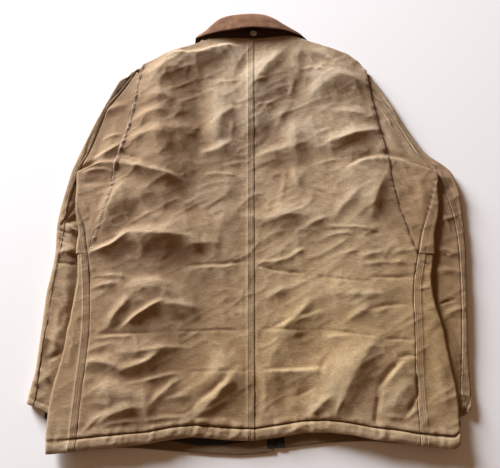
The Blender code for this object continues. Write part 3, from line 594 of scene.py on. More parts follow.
# ---- creases
# Each row is one soft ridge, or trough where rise is negative: from (x1, y1) to (x2, y2),
# bowed to its left by bow, as wide as left and right on either side of its line, and with a
# crest that is rounded at crest 0 and sharp at crest 1.  x is negative on the left.
#     x1   y1    x2   y2  bow left right rise crest
BODY_CREASES = [
    # broad swells, first on the left half and then on the right
    (-222, 668, -160, 760, 0, 50, 84, 6, 0),
    (-196, 700, -172, 480, 0, 96, 76, 9.5, 0),
    (-200, 574, -96, 580, 3, 30, 56, 4.5, 0.1),
    (-50, 580, 34, 730, 0, 76, 84, 3.8, 0),
    (-60, 700, -66, 520, 0, 44, 50, 4, 0),
    (-270, 420, -190, 440, 0, 50, 60, 3.5, 0),
    (-230, 372, -90, 372, 6, 40, 70, 5, 0.1),
    (-60, 420, -50, 330, 0, 44, 50, 3, 0),
    (-236, 262, -130, 246, 6, 30, 60, 5, 0.1),
    (-250, 146, -150, 152, 0, 30, 44, 3, 0),
    (-60, 150, -30, 90, 0, 40, 50, 3.5, 0),
    (-262, 74, -210, 66, 0, 40, 44, 3, 0),
    (-20, 660, 60, 740, 0, 60, 70, 4, 0),
    (-6, 660, 6, 560, 0, 40, 40, 2.5, 0),
    (120, 700, 210, 706, 6, 30, 70, 5, 0.1),
    (60, 560, 230, 590, 4, 50, 70, 4.5, 0),
    (180, 500, 230, 430, 0, 60, 50, 3.5, 0),
    (40, 420, 130, 400, 5, 50, 60, 4, 0),
    (90, 240, 200, 250, 5, 50, 60, 3, 0),
    (110, 40, 176, 170, 5, 50, 60, 4, 0),
    (6, 92, 96, 250, 0, 40, 52, 3, 0),
    (-108, 44, -44, 136, 0, 28, 36, 2.4, 0),
    (232, 30, 262, 120, 0, 30, 34, 3, 0),
    # below the neck and the left shoulder
    (-176, 752, -100, 753, -3, 15, 62, 7, 0.35),
    (-114, 752, -34, 769, 5, 14, 56, 7, 0.4),
    (-157, 736, -126, 708, 0, 7, 5, 1.6, 0.9),
    (-22, 755, -52, 688, 0, 18, 34, 2.6, 0.1),
    (-90, 687, -26, 690, -2, 6, 13, 2.2, 0.7),
    (-28, 630, -80, 597, -3, 18, 12, 2.2, 0.4),
    (-44, 634, -31, 631, 0, 7, 8, -2.4, 0.3),
    (-60, 614, -80, 545, -4, 20, 34, 2.6, 0.1),
    (-40, 600, -48, 560, 0, 9, 8, 1.8, 0.3),
    (-118, 545, -96, 531, 0, 16, 24, 1.6, 0.2),
    (-104, 531, -46, 556, -3, 16, 36, 4.2, 0.3),
    (-114, 705, -106, 520, 4, 40, 40, -3.5, 0),
    (-226, 698, -126, 712, 9, 32, 34, 3.6, 0.2),
    (-232, 650, -150, 640, 6, 22, 30, 2.8, 0.3),
    (-238, 600, -178, 618, 4, 20, 34, 4.4, 0.3),
    (-248, 556, -178, 566, 6, 24, 40, 4.2, 0.3),
    (-262, 528, -198, 508, 3, 18, 5, -4.2, 0.9),
    (-272, 513, -206, 502, 3, 8, 20, 3.5, 0.6),
    (-286, 509, -130, 473, 7, 13, 32, 5.5, 0.6),
    (-100, 486, -24, 483, 5, 6, 15, 2.6, 0.6),
    (-66, 504, -12, 518, 0, 7, 9, 1.8, 0.5),
    (-92, 407, -60, 436, 2, 9, 6, -2, 0.7),
    (-120, 440, -40, 455, 4, 26, 26, 2, 0),
    (-78, 330, -56, 400, 0, 16, 18, 1.8, 0.2),
    # the big fold from the left underarm, and what runs beside it
    (-284, 372, -248, 470, 6, 30, 62, 8, 0.1),
    (-212, 410, -180, 395, 0, 22, 22, 2, 0.1),
    (-300, 328, -236, 363, -4, 14, 40, 8.5, 0.6),
    (-248, 362, -112, 358, 6, 20, 52, 6.4, 0.4),
    (-124, 347, -72, 349, 3, 20, 24, 3.5, 0.3),
    (-152, 306, -1, 315, -2, 8, 5, -2.6, 0.9),
    (-138, 297, -24, 305, 2, 8, 24, 2.6, 0.4),
    (-300, 281, -262, 279, 0, 7, 5, -1.8, 0.7),
    (-280, 285, -232, 281, 3, 8, 13, 3, 0.5),
    (-299, 262, -244, 270, 3, 9, 13, 3.2, 0.4),
    (-225, 272, -160, 268, 5, 16, 18, 2.6, 0.2),
    # the left half's lower part
    (-293, 180, -150, 183, -2, 7, 5, -2.4, 0.9),
    (-158, 183, -1, 188, 1, 6, 4, -2.2, 0.9),
    (-241, 187, -163, 240, 3, 11, 34, 6, 0.7),
    (-264, 192, -226, 242, 3, 18, 17, 5, 0.3),
    (-168, 232, -106, 228, 4, 14, 36, 4.2, 0.3),
    (-290, 171, -212, 176, 0, 5, 15, 3.2, 0.7),
    (-212, 178, -206, 150, 0, 10, 9, 2.4, 0.4),
    (-292, 150, -238, 160, 4, 11, 15, 3, 0.3),
    (-228, 146, -108, 158, 3, 8, 14, 2.8, 0.6),
    (-212, 136, -196, 140, 0, 7, 8, -1.8, 0.3),
    (-298, 128, -230, 116, 5, 22, 22, 5.5, 0.4),
    (-238, 111, -162, 148, 3, 14, 24, 4.2, 0.4),
    (-224, 92, -118, 112, 3, 7, 18, 4, 0.8),
    (-132, 112, -4, 117, 2, 6, 4, -2, 0.9),
    (-196, 84, -187, 32, 3, 18, 22, 4.2, 0.3),
    (-184, 58, -124, 104, 3, 11, 18, 4.4, 0.4),
    (-158, 65, -116, 74, 2, 8, 11, 2.4, 0.4),
    (-146, 62, -58, 124, 0, 24, 24, 3, 0.1),
    (-130, 38, -44, 115, 0, 20, 9, -3.6, 0.6),
    (-104, 38, -26, 124, 0, 12, 32, 4, 0.3),
    (-192, 33, -114, 38, 3, 8, 9, 3, 0.3),
    (-110, 33, -28, 30, 3, 6, 9, 2.4, 0.4),
    (-270, 26, -192, 56, 5, 16, 17, 5, 0.4),
    (-260, 22, -192, 34, 3, 8, 8, 2.6, 0.5),
    (-292, 14, -262, 42, 2, 9, 9, 3, 0.4),
    (-284, 86, -214, 70, 5, 32, 30, 3, 0),
    (-282, 62, -240, 52, 3, 12, 12, 1.8, 0.3),
    # below the neck and the right shoulder
    (-8, 674, 66, 766, 3, 44, 24, 5, 0.2),
    (0, 683, 26, 693, 0, 6, 9, 2.6, 0.6),
    (94, 768, 90, 698, -3, 16, 30, 2.2, 0.1),
    (110, 765, 192, 711, 4, 26, 14, 4, 0.3),
    (98, 716, 150, 712, 4, 8, 9, 2.2, 0.4),
    (110, 655, 174, 703, 4, 24, 30, 3.6, 0.1),
    (164, 703, 230, 686, 4, 20, 44, 4.4, 0.1),
    (148, 622, 241, 610, 5, 24, 20, 3.6, 0.2),
    (138, 547, 248, 581, 5, 24, 28, 6, 0.4),
    (176, 499, 257, 527, 8, 28, 4, -5, 0.85),
    (184, 498, 258, 519, 6, 5, 24, 3.6, 0.4),
    (80, 604, 90, 500, -3, 26, 28, 3.2, 0.1),
    (73, 642, 39, 578, -4, 16, 24, 2.2, 0.3),
    (1, 521, 88, 547, 3, 20, 34, 3.8, 0.3),
    (82, 692, 69, 654, 0, 9, 10, 2.6, 0.4),
    (3, 633, 38, 641, 1, 6, 9, 1.6, 0.5),
    (120, 571, 152, 585, 0, 6, 8, 1.8, 0.5),
    (196, 676, 222, 650, 3, 10, 9, 2.2, 0.4),
    # the right half's middle
    (76, 507, 90, 452, 0, 14, 13, 3, 0.4),
    (64, 503, 50, 428, 0, 10, 11, 2, 0.4),
    (257, 491, 222, 404, -5, 20, 34, 4.4, 0.3),
    (118, 508, 174, 517, 2, 5, 8, 2, 0.6),
    (148, 443, 175, 430, 0, 5, 6, -1.8, 0.7),
    (114, 456, 147, 437, 2, 7, 6, -1.5, 0.5),
    (205, 457, 148, 394, -3, 18, 19, 3, 0.2),
    (126, 380, 227, 376, 2, 6, 11, 2.8, 0.9),
    (221, 368, 235, 368, 0, 8, 8, -2.4, 0.4),
    (128, 357, 184, 367, 4, 14, 12, 3.4, 0.5),
    (94, 375, 143, 403, 2, 8, 9, 2.4, 0.5),
    (26, 398, 97, 402, 3, 26, 26, 4, 0.1),
    (1, 313, 67, 323, -2, 8, 13, 3, 0.6),
    (58, 317, 99, 340, 2, 8, 13, 3, 0.5),
    (-1, 306, 102, 290, -1, 10, 4, -3.4, 0.9),
    (92, 291, 226, 275, -3, 6, 5, -2.2, 0.95),
    (204, 283, 299, 286, -2, 10, 5, -3, 0.85),
    (194, 321, 242, 331, 2, 8, 9, 2.2, 0.5),
    (188, 307, 300, 312, 2, 8, 9, 2.4, 0.4),
    (256, 330, 300, 336, 0, 8, 8, 2.2, 0.5),
    (148, 321, 202, 337, 2, 6, 7, 1.8, 0.6),
    (10, 352, 62, 374, 3, 13, 13, 2, 0.3),
    (262, 352, 236, 320, 0, 10, 10, 1.6, 0.3),
    # the right half's lower part
    (52, 186, 102, 243, 3, 14, 17, 3.2, 0.3),
    (20, 190, 75, 216, -3, 11, 5, -2.4, 0.8),
    (74, 205, 126, 219, 2, 8, 13, 2.6, 0.5),
    (0, 189, 102, 187, 1, 6, 4, -2.2, 0.95),
    (94, 188, 236, 173, 3, 5, 5, -2, 0.95),
    (77, 177, 92, 173, 0, 11, 10, -2.4, 0.2),
    (122, 172, 174, 178, 0, 6, 17, 2.8, 0.5),
    (198, 221, 289, 231, 5, 9, 6, -2.6, 0.6),
    (168, 203, 208, 229, 2, 11, 13, 2.8, 0.3),
    (224, 170, 289, 168, 0, 8, 4, -2.4, 0.85),
    (142, 40, 214, 172, 5, 46, 36, 6.5, 0.15),
    (203, 20, 213, 82, -2, 7, 22, -3.2, 0.6),
    (209, 75, 263, 138, 4, 22, 6, -4, 0.7),
    (252, 137, 289, 139, 2, 13, 5, -3.4, 0.8),
    (215, 36, 224, 90, 0, 7, 22, 2.6, 0.3),
    (224, 90, 268, 132, 2, 6, 24, 3, 0.3),
    (284, 110, 282, 72, 0, 4, 10, -3.6, 0.8),
    (283, 78, 261, 41, 2, 5, 12, -3.8, 0.8),
    (261, 34, 286, 54, 2, 9, 8, 2.6, 0.4),
    (-1, 121, 158, 119, -2, 4, 5, -1.8, 0.9),
    (22, 117, 128, 118, -2, 6, 48, 5, 0.4),
    (64, 71, 112, 93, -3, 9, 5, -2.2, 0.8),
    (114, 102, 134, 143, 2, 13, 8, -2.6, 0.5),
    (48, 112, 53, 34, 0, 15, 20, -2.4, 0),
    (18, 112, 16, 38, 0, 14, 12, 2, 0.1),
    (94, 38, 136, 74, 3, 13, 14, 4.4, 0.4),
    (138, 40, 152, 74, 0, 6, 9, 2.6, 0.5),
    (224, 40, 262, 34, 2, 8, 8, 2, 0.4),
    (158, 246, 232, 252, 3, 13, 12, 2.2, 0.3),
    (20, 244, 60, 262, 3, 12, 13, 2.4, 0.3),
    # the sleeves' underarm, in the plane of the back
    (-324, 498, -268, 509, 4, 12, 18, 4, 0.6),
    (-316, 520, -260, 551, -3, 13, 20, 5.5, 0.5),
    (-300, 560, -262, 572, 3, 8, 11, 3, 0.5),
    (-330, 487, -276, 491, 6, 7, 14, 3.4, 0.6),
    (-334, 468, -292, 470, 0, 13, 12, -3.2, 0.1),
    (-306, 620, -262, 640, 4, 14, 18, 3, 0.3),
    (-300, 440, -312, 360, 0, 14, 13, 1.8, 0.1),
    (264, 489, 299, 457, 2, 9, 6, 2.6, 0.8),
    (252, 532, 300, 519, -3, 14, 10, -4, 0.4),
    (258, 520, 300, 500, 4, 12, 16, 2.6, 0.4),
    (247, 640, 276, 588, 4, 7, 8, 2.6, 0.9),
    (244, 600, 262, 566, 0, 12, 8, -2.6, 0.2),
    (318, 480, 322, 400, 0, 18, 20, 1.8, 0),
    # the side strips below the underarms
    (300, 262, 322, 268, 0, 5, 5, 1.6, 0.6),
    (306, 311, 326, 306, 0, 5, 5, -2.2, 0.7),
    (-322, 196, -328, 120, 0, 14, 12, 1.6, 0.1),
    (322, 150, 330, 40, 0, 16, 15, 1.8, 0.1),
]
SLEEVE_CREASES = [
    # the left sleeve, from the cap down to the elbow and the wrist
    (-318, 586, -336, 505, -3, 4, 6, -3.6, 0.5),
    (-268, 712, -290, 664, 3, 9, 9, -3.4, 0.2),
    (-338, 482, -344, 462, 0, 6, 6, -4, 0.4),
    (-340, 444, -370, 378, 4, 7, 5, -4.2, 0.8),
    (-334, 402, -360, 384, 0, 12, 10, -9, 0.3),
    (-328, 362, -366, 398, 2, 9, 7, 7, 0.5),
    (-346, 366, -374, 376, 0, 4, 4, -5, 0.9),
    (-336, 332, -360, 350, 0, 12, 12, 4, 0.3),
    (-330, 371, -352, 374, 0, 8, 8, 3.6, 0.3),
    (-345, 345, -372, 358, 0, 6, 5, -3.2, 0.8),
    (-330, 330, -368, 326, -4, 12, 12, 4, 0.2),
    (-334, 309, -368, 313, 1, 6, 3, -4.6, 1),
    (-364, 250, -332, 202, 2, 7, 6, 2.4, 0.8),
    (-332, 268, -336, 160, 0, 10, 12, -3, 0.1),
    (-352, 232, -362, 120, 3, 16, 15, 3, 0.1),
    (-372, 196, -380, 130, 0, 8, 8, 2.2, 0.3),
    (-356, 112, -388, 92, 3, 12, 12, 2.6, 0.3),
    (-362, 78, -392, 96, 0, 9, 8, -2, 0.4),
    (-344, 252, -328, 214, 0, 5, 7, 3.6, 0.6),
    (-347, 226, -352, 190, 2, 9, 9, -4.2, 0.2),
    (-346, 148, -366, 134, 0, 8, 10, -4.6, 0.3),
    (-384, 122, -358, 92, 3, 7, 12, 4.8, 0.6),
    (-372, 176, -350, 160, 2, 8, 8, 3.2, 0.4),
    # the right sleeve
    (262, 660, 290, 598, 3, 7, 8, 2.6, 0.8),
    (296, 566, 330, 524, 2, 6, 7, 2, 0.6),
    (352, 500, 384, 470, 0, 10, 12, 3.4, 0.3),
    (340, 452, 384, 462, 0, 12, 12, -3.6, 0.2),
    (352, 430, 372, 366, 3, 9, 9, 3.2, 0.6),
    (340, 392, 386, 402, 0, 10, 12, 3, 0.3),
    (338, 336, 384, 322, 6, 9, 14, 3.2, 0.4),
    (338, 300, 388, 292, 0, 12, 12, 2.6, 0.2),
    (330, 231, 368, 242, 2, 7, 4, -4.4, 0.9),
    (342, 214, 386, 226, 3, 10, 12, 3.4, 0.3),
    (346, 180, 352, 90, 0, 13, 13, 2.6, 0.1),
    (362, 196, 372, 100, 0, 8, 8, -2, 0.2),
    (352, 82, 376, 70, 0, 8, 8, 2.2, 0.4),
]


FULLNESS = 1.35  # every crease's height at once
NARROW = 0.62  # and how much of its height a narrow one keeps
CRISP = 0.2  # every crest is this much sharper than in its row
CREST_POWER = 2.6  # how steeply a sharp crest falls away
PAST_ENDS = 0.35  # how far a crease runs past its ends, in its own widths
END_FADE = 0.35  # and the share of its length that it takes to rise
STRAY = 5.0  # how far a crease wanders off its row
FREE_WIDTH = 32.0  # creases narrower than this wander less


def wander(x, y, seed):
    """How far the creases stray off their rows at each point, in one direction."""
    return STRAY * (lumps(x, y, 58, seed) + 0.3 * lumps(x, y, 19, seed + 1))


def creased(x, y, table):
    """How far the creases of a table raise the cloth at each point."""
    total = np.zeros_like(x)
    wander_x, wander_y = wander(x, y, 61), wander(x, y, 63)
    for x1, y1, x2, y2, bow, left, right, rise, crest in table:
        length = math.hypot(x2 - x1, y2 - y1)
        ux, uy = (x2 - x1) / length, (y2 - y1) / length
        share = min(1.0, (left + right) / FREE_WIDTH)
        px, py = x - x1 + share * wander_x, y - y1 + share * wander_y
        t = (px * ux + py * uy) / length
        within = np.clip(t, 0, 1)
        aside = py * ux - px * uy - bow * 4 * within * (1 - within)
        away = np.abs(aside) / np.where(aside > 0, left, right)
        past = PAST_ENDS * (left + right) / length
        near = (away < 1) & (t > -past) & (t < 1 + past)
        a, s = away[near], t[near]
        rounded, sharp = smooth(1 - a), (1 - a) ** CREST_POWER
        taper = ramp(s, -past, END_FADE) * ramp(s, 1 + past, 1 - END_FADE)
        height = rise * mix(NARROW, 1.0, ramp(left + right, 14, 56))
        total[near] += height * taper * mix(rounded, sharp, min(1.0, crest + CRISP))
    return total * FULLNESS


def settled(relief, room):
    """Relief whose troughs never go deeper than the air under the cloth."""
    return np.where(relief < 0, room * np.tanh(relief / room), relief)


def wrinkles(x, y, size, seed):
    """Thin soft ridges in two slanting directions, where the noise crosses zero."""
    total = 0.0
    for k, turn in enumerate((0.5, 2.0)):
        u = x * math.cos(turn) + y * math.sin(turn)
        v = y * math.cos(turn) - x * math.sin(turn)
        u = u + 0.5 * size * lumps(x, y, 1.6 * size, seed + 5 + k)
        line = 1 - np.abs(noise(u, 2.2 * v, 2 * size, seed + 9 * k))
        total = total + line ** 4 * (0.5 + 0.5 * noise(u, v, 2.6 * size, seed + 30 + k))
    return total


def crumple(x, y):
    """The small unevenness of worn, washed canvas between its larger creases."""
    large = 1.7 * lumps(x, y, 60, 3) + 1.15 * lumps(x, y, 25, 9) + 0.35 * lumps(x, y, 10, 14)
    return large + 1.8 * wrinkles(x, y, 34, 71) + 1.15 * wrinkles(x, y, 17, 81)


CAP_CALM = 0.45  # how much of it the cap of a sleeve has


def sleeve_crumple(x, y):
    """The same on a sleeve."""
    return mix(1.0, CAP_CALM, ramp(y, 470, 540)) * crumple(x, y)


def seam_pucker(along, away, seed, depth):
    """Small puckers across a row of stitching, strongest beside it."""
    return depth * ripple(along, 11, seed) * np.exp(-np.abs(away) / 9)


def in_rows(out, rows, wide=0.8):
    """How near each point is to a row of stitching."""
    return sum(bell(out - row, wide) for row in rows)


# ---- colour over the jacket
# Soft spots of tone: how much paler and how much yellower the cloth is around each.
# The darkest spots are painted shade.
#      x    y  wide tall  pale yellow
TONES = [
    (0, 720, 190, 90, 0.26, -0.1),
    (-70, 590, 90, 130, 0.12, 0.0),
    (150, 600, 120, 150, 0.16, 0.0),
    # painted shade: the shaded flank below the left shoulder, and the shaded left cap
    (-170, 590, 90, 150, -0.48, -0.1),
    (-265, 630, 70, 110, -0.5, -0.1),
    (-295, 440, 45, 60, -0.25, 0.0),
    (0, 595, 60, 60, 0.3, -0.1),
    (60, 515, 42, 45, -0.4, 0.0),
    (-260, 390, 60, 50, -0.2, 0.0),
    (-240, 520, 120, 110, -0.04, -0.1),
    (-180, 330, 180, 110, -0.14, 0.0),
    (-220, 120, 190, 160, -0.24, 0.1),
    (60, 430, 200, 150, 0.02, 0.15),
    (150, 180, 220, 180, 0.08, 0.75),
    (-40, 80, 150, 120, -0.02, 0.4),
    (300, 420, 50, 130, -0.12, 0.2),
    (325, 180, 60, 220, -0.04, 0.6),
    (-325, 180, 50, 220, -0.08, 0.3),
    # painted shadow: the body's shadow cast on the right sleeve
    (365, 360, 50, 190, -0.42, 0.0),
    (368, 410, 36, 100, -0.75, -0.1),
    (-345, 460, 50, 150, -0.12, -0.2),
]


PLAIN_FADE = 0.42  # how faded the canvas is where nothing changes it
RUBBED = 0.14  # how much paler for each millimetre that it stands proud
AROUND = 7  # of the cloth this many points around it
MOST_RUBBED = 0.2
MOST_WORN = 0.6


def tones(x, y):
    """Paleness and yellowness at each point, from the soft spots; the darkest spots are painted
    shade.
    """
    pale, yellow = 0.0, 0.0
    for at_x, at_y, wide, tall, paler, yellower in TONES:
        near = bell(x - at_x, wide) * bell(y - at_y, tall)
        pale = pale + paler * near
        yellow = yellow + yellower * near
    return pale, yellow


def wear_and_painted_shade(x, y, relief, worn, painted_shade):
    """The numbers the canvas reads: ridges are rubbed pale and troughs stay deep; the tones' spots of
    painted shade go in with the fading, and the painted shade of sunk rows, grooves and hollows is
    passed on.
    """
    pale, yellow = tones(x, y)
    proud = relief - blur(blur(relief, AROUND, 0), AROUND, 1)
    rubbed = np.clip(RUBBED * proud, -MOST_RUBBED, MOST_RUBBED)
    return {"fade_and_painted_shade": PLAIN_FADE + pale + rubbed, "yellow": np.clip(yellow, 0, 1),
            "worn": MOST_WORN * np.clip(worn, 0, 1), "painted_shade": np.clip(painted_shade, 0, 1)}


# ---- the hem and the laps
# The cloth above the hem's stitching hangs over it in a lip: places across, and how far.
LIP_AT = [-350, -300, -240, -190, -178, -170, -120, -104, -98, -60, -26, -16, 30, 80, 96, 150,
          205, 214, 260, 350]
LIP = [0.6, 0.4, 0.5, 0.2, 1.2, 0.7, 0.9, 0.2, 1.7, 1.2, 1.3, 0.2, 0.3, 0.2, 0.9, 0.4, 0.3, 0.9,
       0.4, 0.5]
# Folds that stand across the hem's roll: place, half width and height.
HEM_FOLDS = [(-318, 5, 1.0), (-286, 4, 0.9), (-250, 6, 1.2), (-216, 4, 0.9), (-180, 4, -1.8),
             (-174, 4, 2.2), (-148, 8, 0.7), (-106, 5, -2.0), (-98, 5, 1.9), (-82, 4, -1.2),
             (-76, 4, 1.6), (-68, 3, -1.2), (-60, 4, 1.6), (-44, 4, -1.1), (-30, 5, 1.0),
             (36, 5, 0.9), (62, 6, -0.8), (94, 4, -1.3), (102, 4, 1.5), (134, 6, 0.8),
             (176, 5, -1.0), (212, 4, -1.4), (220, 5, 1.5), (252, 5, 0.8), (288, 4, 1.0),
             (312, 5, -0.9), (330, 5, 0.9)]
HEM_LIP = 2.2  # the fullest lip's height
HEM_SWELL = 2.0  # the roll below the stitching
HEM_GROOVE = 2.8  # the stitching sinks in this far
HEM_PULL = 1.5  # and pulls slanting puckers this high


def with_hem_rows(places):
    """The places up the cloth, with more of them about the hem's row of stitching."""
    about = HEM_DEPTH + np.array([-2.6, -1.7, -1.0, -0.4, 0.2, 0.8, 1.5, 2.4, 3.4])
    away = np.abs(places[:, None] - about).min(1)
    return np.sort(np.concatenate([places[away > 0.45], about]))


def hem_relief(x, above, seed):
    """The hem's full roll, its sunk row of stitching and the puckers that it pulls."""
    lip = HEM_LIP * np.interp(x, LIP_AT, LIP) * bell(above - 25.5, 4.2)
    lean = x + 0.35 * (above - 10) * ripple(x, 26, seed + 12)
    folds = sum(rise * bell(lean - at, wide) for at, wide, rise in HEM_FOLDS)
    lip += folds * ramp(above, 1, 8) * ramp(above, 36, 16)
    swell = HEM_SWELL * ramp(above, 0, 7) * ramp(above, 20.5, 15)
    groove = HEM_GROOVE * bell(above - HEM_DEPTH - 0.3 * ripple(x, 9, seed + 5), 1.2)
    slant = x + 0.45 * (above - HEM_DEPTH) * ripple(x, 30, seed + 8)
    gathers = (1 - np.abs(ripple(slant, 15, seed))) ** 3
    pull = HEM_PULL * gathers * (0.6 + 0.6 * ripple(x, 40, seed + 4)) + 0.7 * ripple(x, 5.5, seed + 3)
    return swell - groove + pull * ramp(above, 1, 12) * ramp(above, 44, 21) + lip


def hem_painted_shade(above):
    """Painted shade along the hem's sunk row of stitching, its darkest line."""
    return 0.95 * in_rows(above, [HEM_DEPTH], 1.1)


def hem_wear(x, above, seed):
    """How worn the hem is: rubbed pale in patches along its roll."""
    return 0.5 * bell(above - 9, 6) * (0.5 + 0.5 * ripple(x, 14, seed))


def cuff_relief(above):
    """The turned and stitched end of a sleeve."""
    roll = 1.2 * ramp(above, 0, 5) * ramp(above, CUFF_HEM + 0.5, CUFF_HEM - 4)
    return roll - 1.3 * bell(above - CUFF_HEM, 1.5)


def lap_relief(out):
    """A felled seam's lap: a raised strip whose stitching sinks in."""
    return LAP_RISE * ramp(out, LAP + 2.6, LAP - 1.2) - 0.45 * in_rows(out, LAP_ROWS, 0.9)


# ---- rows of stitching
SEWN = {}  # the rows of each mesh of stitches, as lines
# How a seam is stitched: from one stitch to the next, its own length and its width.
SEAM_STITCH = (3.3, 2.5, 0.75)
EDGE_STITCH = (5.2, 2.7, 1.25)  # the heavier stitches of the armholes and the collar
# A stitch's shape: places along it from its middle, and how full it is there.
STITCH_SHAPE = [(-0.5, 0.35), (-0.34, 1.0), (0.34, 1.0), (0.5, 0.35)]
STITCH_FLAT = 0.6  # its height against its width
STITCH_STEEP = 1.6  # there is no stitch where the cloth drops more than this
STITCH_DROP = 90.0  # the rays that find the cloth start at this height


def sew(name, side, x, y):
    """Asks for a row of stitches along the line through these points."""
    SEWN.setdefault(name, []).append(np.stack([side * np.asarray(x, float), y], axis=1))


def sew_above(name, side, x, edge_x, edge, depth):
    """Asks for a row of stitches this far above an edge."""
    sew(name, side, x, np.interp(x, edge_x, edge) + depth)


def stitch_places(line, pitch, long):
    """Where each stitch along a line starts and ends."""
    step = np.hypot(*np.diff(line, axis=0).T)
    far = np.concatenate([[0], np.cumsum(step)])
    at = np.arange(pitch / 2, far[-1] - pitch / 2, pitch)

    def along(where):
        return np.stack([np.interp(where, far, values) for values in line.T], axis=1)

    return along(at - long / 2), along(at + long / 2)


def stitches(name, lines, cloth):
    """All the stitches of some rows in one mesh, each lying on the cloth under it."""
    heavy = "armhole" in name or "collar" in name
    pitch, long, thick = EDGE_STITCH if heavy else SEAM_STITCH
    placed = [stitch_places(line, pitch, long) for line in lines]
    starts, ends = (np.concatenate(ends) for ends in zip(*placed))
    turns = np.arange(4) * math.pi / 2
    band = [(4 * k + j, 4 * k + (j + 1) % 4, 4 * k + 4 + (j + 1) % 4, 4 * k + 4 + j)
            for k in range(3) for j in range(4)]
    block = np.array(band + [(3, 2, 1, 0), (12, 13, 14, 15)])
    points, faces = [], []
    for start, end in zip(starts, ends):
        first, last, middle = (cloth.ray_cast(Vector((*place, STITCH_DROP)), Vector((0, 0, -1)))
                               for place in (start, end, (start + end) / 2))
        missed = None in (first[0], last[0], middle[0])
        if missed or abs(first[0].z - last[0].z) > STITCH_STEEP:
            continue
        way = last[0] - first[0]
        out = middle[1].cross(way).normalized()
        up = way.cross(out).normalized()
        centre = (first[0] + last[0]) / 4 + middle[0] / 2 + up * 0.1
        ring = [centre + way * share
                + (out * math.cos(turn) + up * STITCH_FLAT * math.sin(turn)) * thick / 2 * full
                for share, full in STITCH_SHAPE for turn in turns]
        faces.append(block + 16 * len(faces))
        points.append(np.array(ring))
    finish = DARK_THREAD if heavy else THREAD
    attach(new_piece(name, np.concatenate(points), np.concatenate(faces), finish), "root")


def sewn_rows():
    """Every row of stitching, once all the cloth is there to lie on."""
    points, faces, count = [], [], 0
    graph = bpy.context.evaluated_depsgraph_get()
    for piece in PIECES:
        shown = piece.evaluated_get(graph)
        mesh = shown.to_mesh()
        flat = np.empty(3 * len(mesh.vertices))
        mesh.vertices.foreach_get("co", flat)
        points.append((flat.reshape(-1, 3) - ORIGIN) / MM)
        faces += [[count + k for k in face.vertices] for face in mesh.polygons]
        count += len(mesh.vertices)
        shown.to_mesh_clear()
    cloth = BVHTree.FromPolygons(np.concatenate(points).tolist(), faces)
    for name, lines in SEWN.items():
        stitches(name, lines, cloth)


# ---- folds
def half_turn(count):
    """The angles round a fold from its top, which is left out, to its foot."""
    return np.linspace(math.pi / 2, -math.pi / 2, count)[1:]


def fold(x, z, wide, tall, turn):
    """The points round a fold about the line x, z: how far out and how high each one is."""
    return column(x) + column(wide) * np.cos(turn), column(z) + column(tall) * np.sin(turn)


def same_height(points, height):
    """A whole stretch of points at each row's own height."""
    return 0 * points + column(height)


# ---- the back
BACK_STANDS = 1.0  # worn cloth stands this much higher than the plain form
BACK_ROOM = 3.2  # and its troughs are no deeper than this
STAND_ABOVE = 9.0  # the collar's stand lies above this height
STAND_NEAR = 6.0  # and the neck seam runs up to it where it is this near
ARM_TOP = {-1: 724.0, 1: 712.0}  # the armhole's upper end
ARM_LAP = 6.5  # how wide the armhole's stitched edge is
ARM_ROWS = [1.9, 5.0]  # and where its two rows of stitches are
BEADS = {-1: 1.6, 1: 0.75}  # how far that edge puckers between its stitches
BEAD_SIZE = 5.4
EDGE_RISE = {-1: 1.3, 1: 0.8}  # the stitched edge stands this high over the back
TUCK = {-1: 1.2, 1: 0.4}  # the back rises this much where the sleeve goes under it
MIDDLE_STRETCH = 16.0  # the back's columns keep their distance up to here
FORM_EVERY = 3  # the solid's height is read at every third point or so
FORM_SMOOTH = 1.6  # and smoothed over so many of those


def form_height(solid, x, y, across, up):
    """The solid's height at a grid of places, with its facets smoothed away; across and up
    say how far apart the grid's columns and rows are."""
    def picked(places):
        count = max(4, int((places[-1] - places[0]) / (GRID * FORM_EVERY)))
        wanted = np.linspace(places[0], places[-1], count)
        return np.unique(np.abs(places[:, None] - wanted).argmin(0))

    rows, cols = picked(up), picked(across)
    coarse = solid.surface(x[np.ix_(rows, cols)], y[np.ix_(rows, cols)])
    coarse = blur(blur(coarse, FORM_SMOOTH, 0), FORM_SMOOTH, 1)
    wide = np.array([np.interp(across, across[cols], row) for row in coarse])
    return np.array([np.interp(up, up[rows], col) for col in wide.T]).T


def beside_arm(y):
    """1 along the armhole, fading out at the underarm."""
    return ramp(y, UNDERARM, UNDERARM + 14)


def beading(y):
    """The armhole's puckers between its stitches."""
    return ripple(y, BEAD_SIZE, 95)


def armhole_relief(inward, y, side):
    """The narrow stitched edge beside the armhole, which stands over the sleeve."""
    strip = EDGE_RISE[side] * ramp(inward, ARM_LAP + 1.4, ARM_LAP - 0.6)
    beads = BEADS[side] * beading(y) * ramp(inward, ARM_LAP + 2, ARM_LAP - 2)
    lift = TUCK[side] * ramp(inward, 26, 4) * ramp(y, 600, 640)
    return (strip + beads - 0.5 * in_rows(inward, ARM_ROWS, 0.9)) * beside_arm(y) + lift


def neck_line(solid, side, across):
    """The back's upper edge, which runs up to the collar's stand where the two meet."""
    line = eased(solid.ends(across, MOST), 1.5)
    stand = Solid("upper_collar", side).ends(across, LEAST, low=STAND_ABOVE)
    meets = ~np.isnan(stand) & (np.abs(stand - line) < STAND_NEAR)
    line[meets] = np.maximum(line, stand + 0.5)[meets]
    return eased(line, 1.0)


def back_creases(side, x, y, above, inward):
    """The back's creases, its small unevenness and the puckers beside its seams."""
    relief = BACK_STANDS + creased(side * x, y, BODY_CREASES) * ramp(above, 18, 34)
    relief += crumple(side * x, y)
    return relief + seam_pucker(y, x, 31 + side, 0.45) + seam_pucker(y, inward, 41 + side, 0.7)


